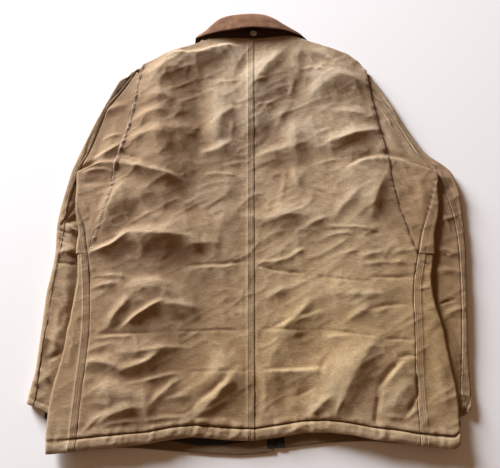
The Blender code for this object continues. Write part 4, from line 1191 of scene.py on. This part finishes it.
def back_wear_and_painted_shade(side, x, y, above, below, inward):
    """Where the back is worn pale, and where painted shade darkens it: its sunk stitched lines, the
    gaps between the armhole's beads, and the right half beside the centre seam's step.
    """
    worn = 0.75 * ramp(inward, 7.5, 5.5) * beside_arm(y) + 0.5 * ramp(below, 5, 1)
    worn += hem_wear(side * x, above, 6)
    # painted shade in the gaps between the armhole's beads and along its sunk rows
    gaps = np.clip(-beading(y), 0, 1) * ramp(inward, ARM_LAP, ARM_LAP - 1.5)
    painted_shade = (0.3 * in_rows(inward, ARM_ROWS) + 0.35 * BEADS[side] * gaps) * beside_arm(y)
    painted_shade += hem_painted_shade(above)
    # on the left, painted shade along the lap's sunk rows; on the right, painted shadow beside the
    # lap's step
    if side < 0:
        return worn + 0.45 * in_rows(x, LAP_EDGES, 1.0), painted_shade + 0.28 * in_rows(x, LAP_ROWS)
    return worn, painted_shade + 0.75 * ramp(x, 1.6, 0.4)


def sew_back(side, centre_y, heights, edge, hem_x, hem_line):
    """The back's stitches: on the centre seam's lap, along the armhole and along the hem."""
    if side < 0:
        for row in LAP_ROWS:
            sew("stitches_centre", side, row + 0 * centre_y, centre_y)
    arm_y = np.linspace(UNDERARM + 8, ARM_TOP[side] - 5, 120)
    for row in ARM_ROWS:
        sew(f"stitches_armhole_{HANDS[side]}", side, np.interp(arm_y, heights, edge) - row, arm_y)
    sew_above("stitches_hem", side, np.linspace(0.004, 0.99, 160) * edge[0], hem_x, hem_line,
              HEM_DEPTH)


def back(side):
    """Half of the back, from the centre seam out to the side seam, armhole and shoulder."""
    hand = HANDS[side]
    solid = Solid("back_" + hand, side)
    hem_side = solid.cut(ACROSS, solid.outer([HEM_DEPTH])[0] - 3)[LEAST]
    heights = np.linspace(hem_side + 0.5, ARM_TOP[side], 300)
    edge = eased(solid.outer(heights), 3.0)
    top_x = solid.outer([ARM_TOP[side]])[0]
    hem_x = np.linspace(2, edge[0] - 2, 120)
    hem_line = eased(solid.ends(hem_x, LEAST), 2.0)
    neck_x = np.linspace(2, top_x - 2, 120)

    # the grid of points: its columns fan out from the centre seam to the outer edge
    places = steps(top_x)
    if side < 0:
        places = np.concatenate([EDGE, LAP_PLACES, places[places > MIDDLE_STRETCH]])
    share = places / places[-1]
    hem = np.interp(share * edge[0], hem_x, hem_line)
    neck = np.interp(share * top_x, neck_x, neck_line(solid, side, neck_x))
    neck[-1] = min(neck[-1], ARM_TOP[side])
    rise = with_hem_rows(steps(neck[0] - hem[0]))
    y = mix(hem, neck, column(rise / rise[-1]))
    outer = column(np.interp(y[:, -1], heights, edge))
    x = mix(places, share * outer, smooth((places - MIDDLE_STRETCH) / 60))
    above, below, inward = y - hem, neck - y, outer - x
    inside_x, inside_y = np.clip(x, 1.5, outer - 4), np.clip(y, hem + 32, neck - 5)
    z = form_height(solid, inside_x, inside_y, places, rise) - WALL / 2
    if side < 0:
        z -= 0.8 * ramp(x, 20, 6)
    form = grid(x, y, z)

    relief = back_creases(side, x, y, above, inward)
    z += settled(relief, BACK_ROOM) + hem_relief(side * x, above, 20 + side)
    z += armhole_relief(inward, y, side)
    if side < 0:
        z += lap_relief(x) * smooth(below / 6)
    thick = WALL * column(edge_share(rise)) * edge_share(places)
    piece, used = wall_mesh(f"back_{hand}_cloth", CANVAS, form, grid(x, y, z), thick, side)
    worn, painted_shade = back_wear_and_painted_shade(side, x, y, above, below, inward)
    paint(piece, used, **wear_and_painted_shade(side * x, y, relief, worn, painted_shade))
    sew_back(side, y[:, 0], heights, edge, hem_x, hem_line)
    declare(piece, "back_" + hand)


# ---- the fronts
FRONT_TOP = 783.0  # the shoulder, where the fronts end
STRIP_ROWS_TO = UNDERARM + 1.3  # up to here a front wraps round onto the back
BESIDE_FOLD = 12.0  # its two layers' heights are read this far in
FRONT_ROOM = 2.0  # how deep its troughs may be
STRIP_POINTS = 14  # points across: on the back, past the seam's lap,
FOLD_POINTS = 11  # round an outer fold from its top,
GROUND_POINTS = 44  # and on the ground


def front_rows(solid):
    """The rows up a front, how many of them wrap round onto the back, and how high up the
    solid each row is read."""
    strip_rows = with_hem_rows(steps(STRIP_ROWS_TO))
    upper_rows = STRIP_ROWS_TO + np.linspace(COARSE, FRONT_TOP - UNDERARM - 1.8, 56)
    rows = np.concatenate([strip_rows, upper_rows])
    lowest = solid.cut(ACROSS, solid.high[0] - 8)[LEAST]
    probe = np.clip(mix(lowest, 0, ramp(rows, 0, 60)) + rows, lowest + 1, FRONT_TOP - 1)
    return rows, len(strip_rows), probe


def front_lines(side, solid, rows, probe):
    """A front's outer fold and its side seam on the back, row by row."""
    outer = eased(solid.outer(probe), 3.0)
    outer += 1.2 * ripple(rows, 37, 16 + side) + 0.5 * ripple(rows, 13, 18)
    seam = eased(solid.inner(probe, low=UPPER_SIDE), 3.0)
    steady = (rows > 36) & (rows < 110)
    slope, start = np.polyfit(rows[steady], seam[steady], 1)
    return outer, mix(seam, start + slope * rows, ramp(rows, 60, 36))


def front(side):
    """A front: from the side seam on the back, round the side fold, and flat on the ground
    to the zip; above the underarm only the part on the ground goes on."""
    hand = HANDS[side]
    solid = Solid("front_" + hand, side)
    hem_x = np.linspace(-30, 350, 140)
    hem_line = blur(filled(hem_x, solid.ends(hem_x, LEAST)), 2.0)
    rows, strip_rows, probe = front_rows(solid)
    folded = np.arange(len(rows)) < strip_rows
    low_probe = np.minimum(probe, UNDERARM - 2)
    outer, seam = front_lines(side, solid, rows, low_probe)
    inner = solid.inner(probe, high=UPPER_SIDE - 1)
    ground_outer = solid.outer(np.maximum(probe, UNDERARM + 6))
    top = solid.level(outer - BESIDE_FOLD, low_probe, 4) - WALL / 2
    bottom = solid.level(outer - BESIDE_FOLD, low_probe, 4, from_above=False) + WALL / 2
    radius = (top - bottom) / 2
    centre_x = outer - WALL / 2 - radius
    foot = np.where(folded, centre_x, ground_outer - 0.3)

    # the grid of points: the strip on the back, the side fold, and the part on the ground
    head = np.concatenate([EDGE, LAP_PLACES])
    strip = np.concatenate([column(seam) + head,
                            mix(column(seam + head[-1]), column(centre_x),
                                parts(STRIP_POINTS))], axis=1)
    turn = half_turn(FOLD_POINTS)[:-1]
    fold_x, fold_z = fold(centre_x, (top + bottom) / 2, radius, radius, turn)
    under_share = np.concatenate([np.linspace(0, 1, GROUND_POINTS)[:-1], [0.994, 0.997, 1.0]])
    under_x = column(foot) - column(foot - inner) * under_share
    x = np.concatenate([strip, fold_x, under_x], axis=1)
    on_top = np.arange(x.shape[1]) < strip.shape[1]
    to_ground = strip.shape[1] + len(turn)
    hem = np.interp(x, hem_x, hem_line)
    y = column(rows) + hem * column(ramp(rows, 60, 0))
    above, out = y - hem, x - column(seam)
    under_y = np.clip(y, hem + 3, FRONT_TOP - 3)[:, to_ground:]
    inside_x = np.clip(under_x, column(inner) + 2, column(foot) - 1)
    under_z = solid.surface(inside_x, under_y, from_above=False) + WALL / 2
    z = np.concatenate([same_height(strip, top), fold_z, blur(under_z, 1.0)], axis=1)

    facing = np.concatenate([np.ones(strip.shape[1]), np.sin(turn).clip(0),
                             np.zeros(len(under_share))])
    relief = creased(side * x, y, BODY_CREASES) * ramp(above, 18, 34)
    relief += 0.8 * crumple(side * x, y)
    relief = settled(relief, FRONT_ROOM) + hem_relief(side * x, above, 24 + side)
    relief += lap_relief(out) * on_top + seam_pucker(y, out, 51 + side, 0.5)
    # the hem's cut edge is rounded below; the strip's top edge runs on under the sleeve
    wide = np.where(on_top, rounding(out), 1.0)
    keep = np.ones((len(rows) - 1, x.shape[1] - 1), bool)
    keep[strip_rows - 1:, :to_ground] = False
    piece, used = wall_mesh(f"front_{hand}_cloth", CANVAS, grid(x, y, z),
                            grid(x, y, z + relief * facing),
                            WALL * column(edge_share(rows)) * wide, side, keep)

    worn = (0.6 * in_rows(out, LAP_EDGES, 1.0) + hem_wear(side * x, above, 7)) * on_top
    # painted shade along the lap's sunk rows and the hem's row
    painted_shade = (0.5 * in_rows(out, LAP_ROWS) + hem_painted_shade(above)) * on_top
    # the part on the ground, seen at the hem under the back: painted shade, with its darker unfaded
    # inside
    painted_shade += 0.55 * ~on_top * (facing < 0.05)
    paint(piece, used, **wear_and_painted_shade(side * x, y, relief, worn, painted_shade))
    for row in LAP_ROWS:
        sew(f"stitches_side_{hand}", side, seam[folded] + row, y[folded, len(EDGE)])
    sew_above("stitches_hem", side, np.linspace(seam[0] + 3, outer[0] - 4, 30), hem_x, hem_line,
              HEM_DEPTH)
    declare(piece, "front_" + hand)


# ---- the sleeves
UNDER_TIP = {-1: 716.0, 1: 658.0}  # where the under piece runs out at the armhole
UPPER_TIP = {-1: 726.0, 1: 707.0}  # and the upper piece
STITCHED_TO = {-1: 650.0, 1: 720.0}  # the sleeve seam's rows show up to here
TIP_RISE = {-1: 1.5, 1: 6.5}  # the cap's end stands this much higher at the armhole
TIP_FALL = {-1: 15.0, 1: 10.0}  # and is rounded off by this much
TIP_WIDE = {-1: 27.0, 1: 12.0}  # over this width
CAP_HOLLOW = {-1: 1.0, 1: 0.0}  # the left cap sinks in beside its seam, with painted shade in the hollow
CAP_WIDE = 10.0  # and is deepest this far from it
CAP_LIFT = {-1: 0.0, 1: 1.5}  # a cap rises this much towards the armhole
TUCK_DEEP = {-1: 1.3, 1: 0.5}  # its edge lies this far down, under the back's,
TUCK_WIDE = {-1: 3.3, 1: 1.4}  # and it comes up again over this width
STRIP_TOP = {-1: 428.0, 1: 480.0}  # where the underarm's strip runs out at the fold
STRIP_SINKS = -1.6  # the cloth is sunk this far short of that strip
CROWN = {-1: 6.5, 1: 2.4}  # how full the sleeves stand below the underarm
UNDER_CORNER = 62.0  # just above the under piece's outer corner at the wrist
UPPER_CORNER = {-1: 62.0, 1: 84.0}  # and the upper piece's
DRAWN_IN = {-1: 6.5, 1: 5.0}  # the underarm's fold is pulled in this far at its end
SEAM_SHOWS = {-1: (440.0, 408.0), 1: (20.0, 10.0)}  # the sleeve seam fades out between these
WRIST = 30.0  # the sleeves' first row, before it is drawn to the end
WRIST_REACH = 220.0  # and the rows up to here are drawn with it
WRIST_INNER = 232.0  # the hidden inner side of the sleeve's end
TUCKED = (606.0, 642.0)  # the under piece goes under the back between these
SEAM_ABOVE = WALL + 1.6  # the upper piece's seam lies above this height
LEG_POINTS = 22  # points across: on the under piece's first leg,
PLEAT_POINTS = 7  # round each of its folds from the top,
BETWEEN_POINTS = 5  # on the leg between them,
LOW_POINTS = 36  # on its lowest leg,
SEAM_POINTS = 12  # of which so many are near the seam,
TOP_POINTS = 14  # on the upper piece's top
UNDER_POINTS = 18  # and on its part on the ground


def wrist_end(solid, corner, **heights):
    """The sleeve's end from its hidden inner side out to its corner, as two lists."""
    across = np.linspace(WRIST_INNER, solid.outer([corner])[0] - 0.3, 60)
    return across, filled(across, solid.ends(across, LEAST, **heights))


def drawn(rows, end):
    """How high the rows lie up the jacket where the sleeve ends at this height."""
    return rows + (end - WRIST) * ramp(rows, WRIST_REACH, WRIST)


def crown_room(crown):
    """How deep a sleeve's troughs may be where it stands this full."""
    return 1.0 + 0.8 * crown


def under_lines(side, solid, rows, probe, opened):
    """The under piece's lines, row by row: its armhole, the fold of its pleat and its seam,
    and then the heights of its upper and its lower layer."""
    high_probe = np.maximum(probe, UNDERARM + 8)
    arm = eased(solid.inner(high_probe, low=WALL + 4.5), 2.0) - 3.5 * ramp(rows, *TUCKED)
    seam = eased(solid.outer(probe), 3.0)
    high = solid.level(arm + 3, high_probe, 5) - WALL / 2
    low = solid.level(seam - 4, probe, 5, from_above=False) + WALL / 2
    pleat = eased(solid.outer(np.minimum(high_probe, PLEAT_TOP - 3), low=UPPER_SIDE), 3.0)
    pleat += 1.5 * ripple(rows, 41, 12 + side) + 0.6 * ripple(rows, 15, 14)
    pleat -= DRAWN_IN[side] * ramp(rows, 440, 330)
    return arm, mix(pleat, mix(arm, seam, 0.62), opened), seam, high, low


def under_form(rows, folded, lines, opened):
    """The under piece's three legs, folded one over the other: how far out and how high each
    point is, at which point the first leg ends, and where the lowest one starts."""
    arm, pleat, seam, high, low = lines
    radius = np.maximum((high - low) / 4, 0.4)
    bend = pleat - radius
    depth = (bend - radius - arm - 6) * ramp(rows, PLEAT_TOP - 20, PLEAT_TOP - 90)
    depth = np.maximum(depth, 0.5)
    turn = half_turn(PLEAT_POINTS)
    leg = np.concatenate([column(arm) + EDGE,
                          mix(column(arm + EDGE[-1]), column(bend), parts(LEG_POINTS))],
                         axis=1)
    fold_x, fold_z = fold(bend, high - radius, radius, radius, turn)
    inward = column(bend) - column(depth) * parts(BETWEEN_POINTS)
    under_x, under_z = fold(bend - depth, low + radius, -radius, radius, turn)
    start = np.where(folded, bend - depth, SLEEVE_INNER)
    last = mix(column(start), column(seam - EDGE[-1]), parts(LOW_POINTS))
    last = np.concatenate([last, column(seam) - EDGE[-2::-1]], axis=1)
    x = np.concatenate([leg, fold_x, inward, under_x, last], axis=1)
    z = np.concatenate([same_height(leg, high), fold_z, same_height(inward, (high + low) / 2),
                        under_z, same_height(last, low)], axis=1)
    # above the pleat the three legs open out into one slope; below the underarm
    # only the lowest is there
    spread = np.linspace(0, 1, x.shape[1])
    slope_z = mix(column(high), column(low), smooth((spread - 0.35) / 0.45))
    x = mix(x, mix(column(arm), column(seam), spread), column(opened))
    z = mix(z, slope_z, column(opened))
    lowest = x.shape[1] - last.shape[1]
    x[~folded, lowest - 1] = SLEEVE_INNER
    z[~folded, lowest - 1] = low[~folded]
    return x, z, leg.shape[1], lowest


def underarm_strip(side, rows, x, arm, pleat, on_leg):
    """The side seam's strip, which runs on along the underarm and slants out to the pleat's
    fold, with its stitches: how far each point is past its edge, and where the strip is."""
    start = np.interp(UNDERARM + 2, rows, arm) + 2.0
    share = ((rows - UNDERARM) / (STRIP_TOP[side] - UNDERARM)).clip(0, 1)
    strip_x = mix(start, pleat, share ** 0.85)
    for row in LAP_ROWS:
        fits = (strip_x + row < pleat - 1.5) & (rows > UNDERARM + 3) & (share < 0.97)
        sew(f"stitches_side_{HANDS[side]}", side, (strip_x + row)[fits], rows[fits])
    return x - column(strip_x), on_leg * column((rows > UNDERARM) * ramp(share, 1.0, 0.93))


def under_fullness(rows, x, leg, seam_fades):
    """How full the under piece's wall is at each point: thinner towards its edges."""
    last_edge = mix(rounding(x[:, -1:] - x), 1.0, seam_fades)
    point = np.arange(x.shape[1])
    wide = np.where(point < leg, rounding(x - x[:, :1]), 1.0)
    wide = np.where(point > x.shape[1] - SEAM_POINTS, np.minimum(wide, last_edge), wide)
    return wide * column(rounding(rows - WRIST))


def under_sleeve(side):
    """The sleeve's under piece: out from the armhole, folded twice under itself along the
    underarm, and down to the wrist; below the underarm only its lowest leg goes on."""
    hand = HANDS[side]
    solid = Solid("under_sleeve_" + hand, side)
    end_x, end_line = wrist_end(solid, UNDER_CORNER)
    rows = np.concatenate([steps(UNDERARM - WRIST, soft_end=False) + WRIST,
                           np.arange(UNDERARM + 1.6, UNDER_TIP[side], GRID)])
    folded = rows > UNDERARM + 1
    opened = ramp(rows, PLEAT_TOP - 12, PLEAT_TOP + 22)
    probe = np.clip(drawn(rows, end_line[-1]), end_line[-1] + 2, UNDER_TIP[side] - 1)
    lines = under_lines(side, solid, rows, probe, opened)
    arm, pleat, seam = lines[:3]
    x, z, leg, lowest = under_form(rows, folded, lines, opened)
    end = np.interp(x, end_x, end_line)
    y = drawn(column(rows), end)

    on_lowest = (np.arange(x.shape[1]) >= lowest).astype(float)
    faces_up = np.arange(x.shape[1]) < leg + 3
    shown = mix(np.maximum(faces_up, on_lowest), 1.0, column(opened))
    lower_share = on_lowest * (1 - column(opened))
    past_pleat, from_arm = x - column(pleat), x - column(arm)
    crown = CROWN[side] * smooth((past_pleat + 4) / 22) * on_lowest * ramp(y, 560, 480)
    creases = mix(creased(side * x, y, BODY_CREASES), creased(side * x, y, SLEEVE_CREASES),
                  lower_share)
    relief = settled(creases + sleeve_crumple(side * x, y), crown_room(np.maximum(crown, 1.0)))
    relief += cuff_relief(y - end)
    relief *= 1 - lower_share * ramp(past_pleat, 8, 0)
    beyond, on_strip = underarm_strip(side, rows, x, arm, pleat, 1 - on_lowest)
    strip = 1.1 * ramp(beyond, -0.8, 0.8) - 1.6 * bell(beyond + 1.4, 1.3)
    relief += (strip - 0.4 * in_rows(beyond, LAP_ROWS)) * on_strip

    tucked = column(ramp(rows, *TUCKED))
    sunk = ramp(from_arm, 3.2 + TUCK_WIDE[side], 3.2) * tucked
    form = grid(x, y, z + crown * shown)
    z = z + (relief + crown) * shown * (1 - sunk) - TUCK_DEEP[side] * sunk
    z += CAP_LIFT[side] * ramp(from_arm, 26, 2) * tucked * shown
    seam_fades = column(ramp(rows, *SEAM_SHOWS[side]))
    keep = np.ones((len(rows) - 1, x.shape[1] - 1), bool)
    keep[:np.flatnonzero(folded)[0], :lowest] = False
    piece, used = wall_mesh(f"under_sleeve_{hand}_cloth", CANVAS, form, grid(x, y, z),
                            (WALL - sunk) * under_fullness(rows, x, leg, seam_fades), side, keep)

    worn = 0.6 * in_rows(column(seam) - x, [0.8], 1.2) * on_lowest * (1 - seam_fades)
    worn += 0.9 * ramp(y - end, 4, 1) * on_lowest + 0.7 * in_rows(beyond, [0.8], 1.0) * on_strip
    # painted shade along the strip's sunk rows and the sunk line beside it
    painted_shade = (0.5 * in_rows(beyond, LAP_ROWS) + 0.5 * in_rows(beyond, [STRIP_SINKS], 1.2)) * on_strip
    paint(piece, used, **wear_and_painted_shade(side * x, y, relief, worn, painted_shade))
    covered = Solid("front_" + hand, side).outer([end_line[-1] + CUFF_HEM])[0]
    sew_above(f"stitches_cuff_{hand}", side, np.linspace(covered + 2.5, seam[0] - 1.5, 14),
              end_x, end_line, CUFF_HEM)
    declare(piece, "under_sleeve_" + hand)


def upper_seam(side, solid, rows, arm, ends):
    """The upper piece's seam on the sleeve, row by row, up to where it goes under the back."""
    end_x, end_line = ends
    tip = UPPER_TIP[side] - 1.5
    seam_end = np.interp(solid.inner([UNDER_CORNER], low=SEAM_ABOVE)[0], end_x, end_line)
    probe = np.clip(drawn(rows, seam_end), seam_end + 2, tip)
    seam = eased(solid.inner(probe, low=SEAM_ABOVE), 2.5)
    under = eased(Solid("under_sleeve_" + HANDS[side], side).outer(probe), 3.0)
    seam = mix(seam, under + 0.15, ramp(rows, *SEAM_SHOWS[side]))
    tucked = ramp(rows, UNDER_TIP[side] - 14, UNDER_TIP[side] + 4)
    seam = np.where(tucked > 0, np.minimum(seam, mix(seam, arm - 4.5, tucked)), seam)
    return seam, column(tucked)


def upper_form(seam, centre_x, inner, fold_wide, low, radius):
    """The upper piece's points, along its top from the seam out, round the outer fold and in
    on the ground: how far out and how high each one is, and how far it faces up."""
    head = column(seam) + np.minimum(EDGE, column(centre_x - seam) * [0, 0.2, 0.4, 0.6])
    top = np.concatenate([head, mix(head[:, -1:], column(centre_x), parts(TOP_POINTS))], axis=1)
    turn = half_turn(FOLD_POINTS)
    fold_x, fold_z = fold(centre_x, low + radius, fold_wide, radius, turn)
    ground = mix(column(centre_x), column(inner), parts(UNDER_POINTS))
    x = np.concatenate([top, fold_x, ground], axis=1)
    z = np.concatenate([same_height(top, low + 2 * radius), fold_z, 0 * ground + low], axis=1)
    return x, z, np.concatenate([np.ones(top.shape[1]), np.sin(turn), -np.ones(ground.shape[1])])


def upper_sleeve(side):
    """The sleeve's upper piece: from the back seam round the outer fold, and in under the
    sleeve on the ground."""
    hand, tip = HANDS[side], UPPER_TIP[side]
    solid = Solid("upper_sleeve_" + hand, side)
    rows = steps(tip - WRIST) + WRIST
    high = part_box("upper_sleeve_" + hand)[1][2] / MM - WALL / 2
    low = WALL / 2 + 0.2
    end_x, end_line = wrist_end(solid, UPPER_CORNER[side], low=high - 1)
    end_low = wrist_end(solid, UPPER_CORNER[side], high=low + 1)[1]
    probe = np.clip(drawn(rows, end_line[-1]), end_line[-1] + 1, tip - 1.5)
    outer = eased(solid.outer(probe), 2.5)
    inner = solid.inner(probe, high=WALL)
    arm = eased(Solid("back_" + hand, side).outer(probe), 3.0)
    seam, tucked = upper_seam(side, solid, rows, arm, (end_x, end_line))
    crown = CROWN[side] * smooth((outer - seam) / 12) * ramp(rows, 560, 480)
    radius = (high + crown - low) / 2
    centre_x = np.maximum(outer - WALL / 2 - radius, seam + 1.0)
    fold_wide = np.minimum(radius, outer - WALL / 2 - centre_x).clip(0.5)
    x, z, facing = upper_form(seam, centre_x, inner, fold_wide, low, radius)
    upper_end, lower_end = np.interp(x, end_x, end_line), np.interp(x, end_x, end_low)
    end = mix(upper_end, lower_end, smooth(0.5 - facing))
    y = drawn(column(rows), end)
    over = ((x - column(arm)) / TIP_WIDE[side]).clip(0, 1)
    y += (TIP_RISE[side] - TIP_FALL[side] * over ** 1.6) * column(ramp(rows, tip - 34, tip))

    relief = settled(creased(side * x, y, SLEEVE_CREASES) + sleeve_crumple(side * x, y),
                     crown_room(column(crown)))
    relief += cuff_relief(y - end)
    out, up = x - column(seam), facing.clip(0)
    hollow = bell(out - CAP_WIDE, 0.8 * CAP_WIDE)
    hollow *= CAP_HOLLOW[side] * ramp(y, 648, 672) * ramp(y, 727, 714)
    relief -= 1.5 * hollow
    sunk = ramp(x - column(arm), 3.5, 0) * tucked * up
    form = grid(x, y, z)
    z = z + relief * up * (1 - sunk) - TUCK_DEEP[side] * sunk
    seam_fades = column(ramp(rows, *SEAM_SHOWS[side]))
    first_edge = mix(rounding(x - x[:, :1]), 1.0, seam_fades)
    wide = np.where(np.arange(x.shape[1]) < len(EDGE) + 2, first_edge, 1.0)
    thick = (WALL - sunk) * column(edge_share(rows - WRIST)) * wide
    piece, used = wall_mesh(f"upper_sleeve_{hand}_cloth", CANVAS, form, grid(x, y, z), thick, side)

    faces_up = facing > 0.2
    worn = 0.6 * in_rows(out, [0.8, LAP], 1.0) * (1 - seam_fades) + 0.9 * ramp(y - end, 4, 1)
    # painted shade along the lap's sunk rows and in the cap's hollow
    painted_shade = 0.5 * in_rows(out, LAP_ROWS) * faces_up * (1 - seam_fades) + 0.9 * hollow
    paint(piece, used, **wear_and_painted_shade(side * x, y, relief, worn * faces_up, painted_shade))
    cuff_x = np.linspace(seam[0] + 2, centre_x[0] + 0.4 * radius[0], 8)
    sew_above(f"stitches_cuff_{hand}", side, cuff_x, end_x, end_line, CUFF_HEM)
    for row in LAP_ROWS:
        fits = (seam + row < centre_x + 0.5 * radius) & (rows < STITCHED_TO[side])
        fits &= rows > SEAM_SHOWS[side][0] - 12
        sew(f"stitches_sleeve_{hand}", side, (seam + row)[fits], y[fits, len(EDGE)])
    declare(piece, "upper_sleeve_" + hand)


# ---- the other pieces
LINING_THICK = 0.9
FALL_ABOVE = 16.0  # the collar's fall lies above this height


def lining():
    """The strip of lining at the hem: its lower edge hangs in a shallow bow."""
    solid = Solid("lining")
    x = np.linspace(solid.low[0] + 0.5, solid.high[0] - 0.5, 90)
    bow = 15 * np.abs(np.linspace(-1, 1, len(x))) ** 2.6
    t = column(np.linspace(0, 1, 24))
    y = mix(solid.low[1] + 0.4 + bow + 0.8 * ripple(x, 16, 3), solid.high[1] - 0.5, t)
    x = x + 0 * y
    z = (solid.low[2] + solid.high[2]) / 2 + 0.5 * lumps(x, y, 22, 4) * ramp(t, 0.5, 0.2)
    middle = grid(x, y, z)
    piece = wall_mesh("lining_cloth", LINING, middle, middle, 0 * y + LINING_THICK)[0]
    declare(piece, "lining")


def collar():
    """The corduroy collar and its under ply, darkened by painted shade, and the stitching along its
    fall.
    """
    for node, finish, slot in (("upper_collar", CORDUROY, "corduroy"),
                               ("under_collar", BROWN_IN_PAINTED_SHADE, "under_collar")):
        piece = smooth_copy(node, node + "_cloth", finish, 3)
        declare(piece, node)
    x = np.linspace(-97, 92, 90)
    fall = eased(Solid("upper_collar").ends(x, LEAST, low=FALL_ABOVE), 2.0)
    sew("stitches_collar", 1, x, fall + 3.6 + 0.5 * ripple(x, 12, 2))


def cuffs():
    """The rib-knit storm cuffs inside the sleeves' ends."""
    for hand in HANDS.values():
        node = f"rib_cuff_{hand}"
        piece = smooth_copy(node, node + "_knit", KNIT, 2)
        declare(piece, node)


def jacket():
    """Every piece of the jacket; the stud and the zip keep their own CAD meshes."""
    for side in HANDS:
        back(side)
        front(side)
        under_sleeve(side)
        upper_sleeve(side)
    collar()
    cuffs()
    lining()
    for node, finish in (("hood_snap", STEEL), ("front_zip", TAPE)):
        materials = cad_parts[node].data.materials
        materials.clear()
        materials.append(finish)


# ---- floor, camera and light
FLOOR_HALF = 3.0  # the floor reaches this far each way, metres
ELEVATION = math.radians(74)  # of the camera, which stands on the hem's side
DISTANCE = 1.07
TARGET = ORIGIN + np.array([-8.0, 371.0, 0.0]) * MM
LENS, SENSOR = 40.32, 36.0
LOW_LIGHT = (1.0, 0.57, 0.32, 1)  # from all round
LOW_STRENGTH = 0.18
BACKDROP = (0.88, 0.88, 0.88, 1)  # what the camera sees past the floor


def stage():
    """The floor that the jacket lies on."""
    floor = bpy.data.meshes.new("floor")
    corners = [(-1, -1), (1, -1), (1, 1), (-1, 1)]
    floor.from_pydata([(FLOOR_HALF * x, FLOOR_HALF * y, 0) for x, y in corners],
                      [], [(0, 1, 2, 3)])
    ground = bpy.data.objects.new("floor", floor)
    bpy.context.scene.collection.objects.link(ground)
    floor.materials.append(pale_floor())


def placed(name, data, away, location):
    """A camera or lamp at this place, looking against the direction away."""
    thing = bpy.data.objects.new(name, data)
    thing.location = location
    thing.rotation_euler = (-away).to_track_quat("-Z", "Y").to_euler()
    bpy.context.scene.collection.objects.link(thing)
    return thing


def camera():
    """The photo's camera, which looks down steeply from the hem's side."""
    data = bpy.data.cameras.new("camera")
    data.lens, data.sensor_width = LENS, SENSOR
    away = Vector((0, -math.cos(ELEVATION), math.sin(ELEVATION)))
    bpy.context.scene.camera = placed("camera", data, away, Vector(TARGET) + away * DISTANCE)


def lamp(name, azimuth, elevation, distance, energy, size, colour):
    """A square soft lamp aimed at the jacket; azimuth is turned from the collar's side (+Y)
    towards the image's right, both angles in degrees."""
    around, up = math.radians(azimuth), math.radians(elevation)
    away = Vector((math.sin(around) * math.cos(up), math.cos(around) * math.cos(up), math.sin(up)))
    data = bpy.data.lights.new(name, "AREA")
    data.energy, data.size, data.color = energy, size, colour
    placed(name, data, away, away * distance)


def lights():
    """A far raking lamp beyond the jacket's left shoulder, and a low warm light all round."""
    world = bpy.data.worlds.new("studio")
    bpy.context.scene.world = world
    world.use_nodes = True
    tree = world.node_tree
    low = tree.nodes["Background"]
    low.inputs["Color"].default_value = LOW_LIGHT
    low.inputs["Strength"].default_value = LOW_STRENGTH
    wall = tree.nodes.new("ShaderNodeBackground")
    wall.inputs["Color"].default_value = BACKDROP
    seen = tree.nodes.new("ShaderNodeLightPath")
    both = tree.nodes.new("ShaderNodeMixShader")
    tree.links.new(seen.outputs["Is Camera Ray"], both.inputs[0])
    tree.links.new(low.outputs[0], both.inputs[1])
    tree.links.new(wall.outputs[0], both.inputs[2])
    tree.links.new(both.outputs[0], tree.nodes["World Output"].inputs[0])
    lamp("key", azimuth=-40, elevation=16.5, distance=6.0, energy=1080, size=2.6,
         colour=(0.95, 0.98, 1.04))
    bpy.context.scene.view_settings.view_transform = "Standard"


stage()
camera()
lights()
jacket()
sewn_rows()
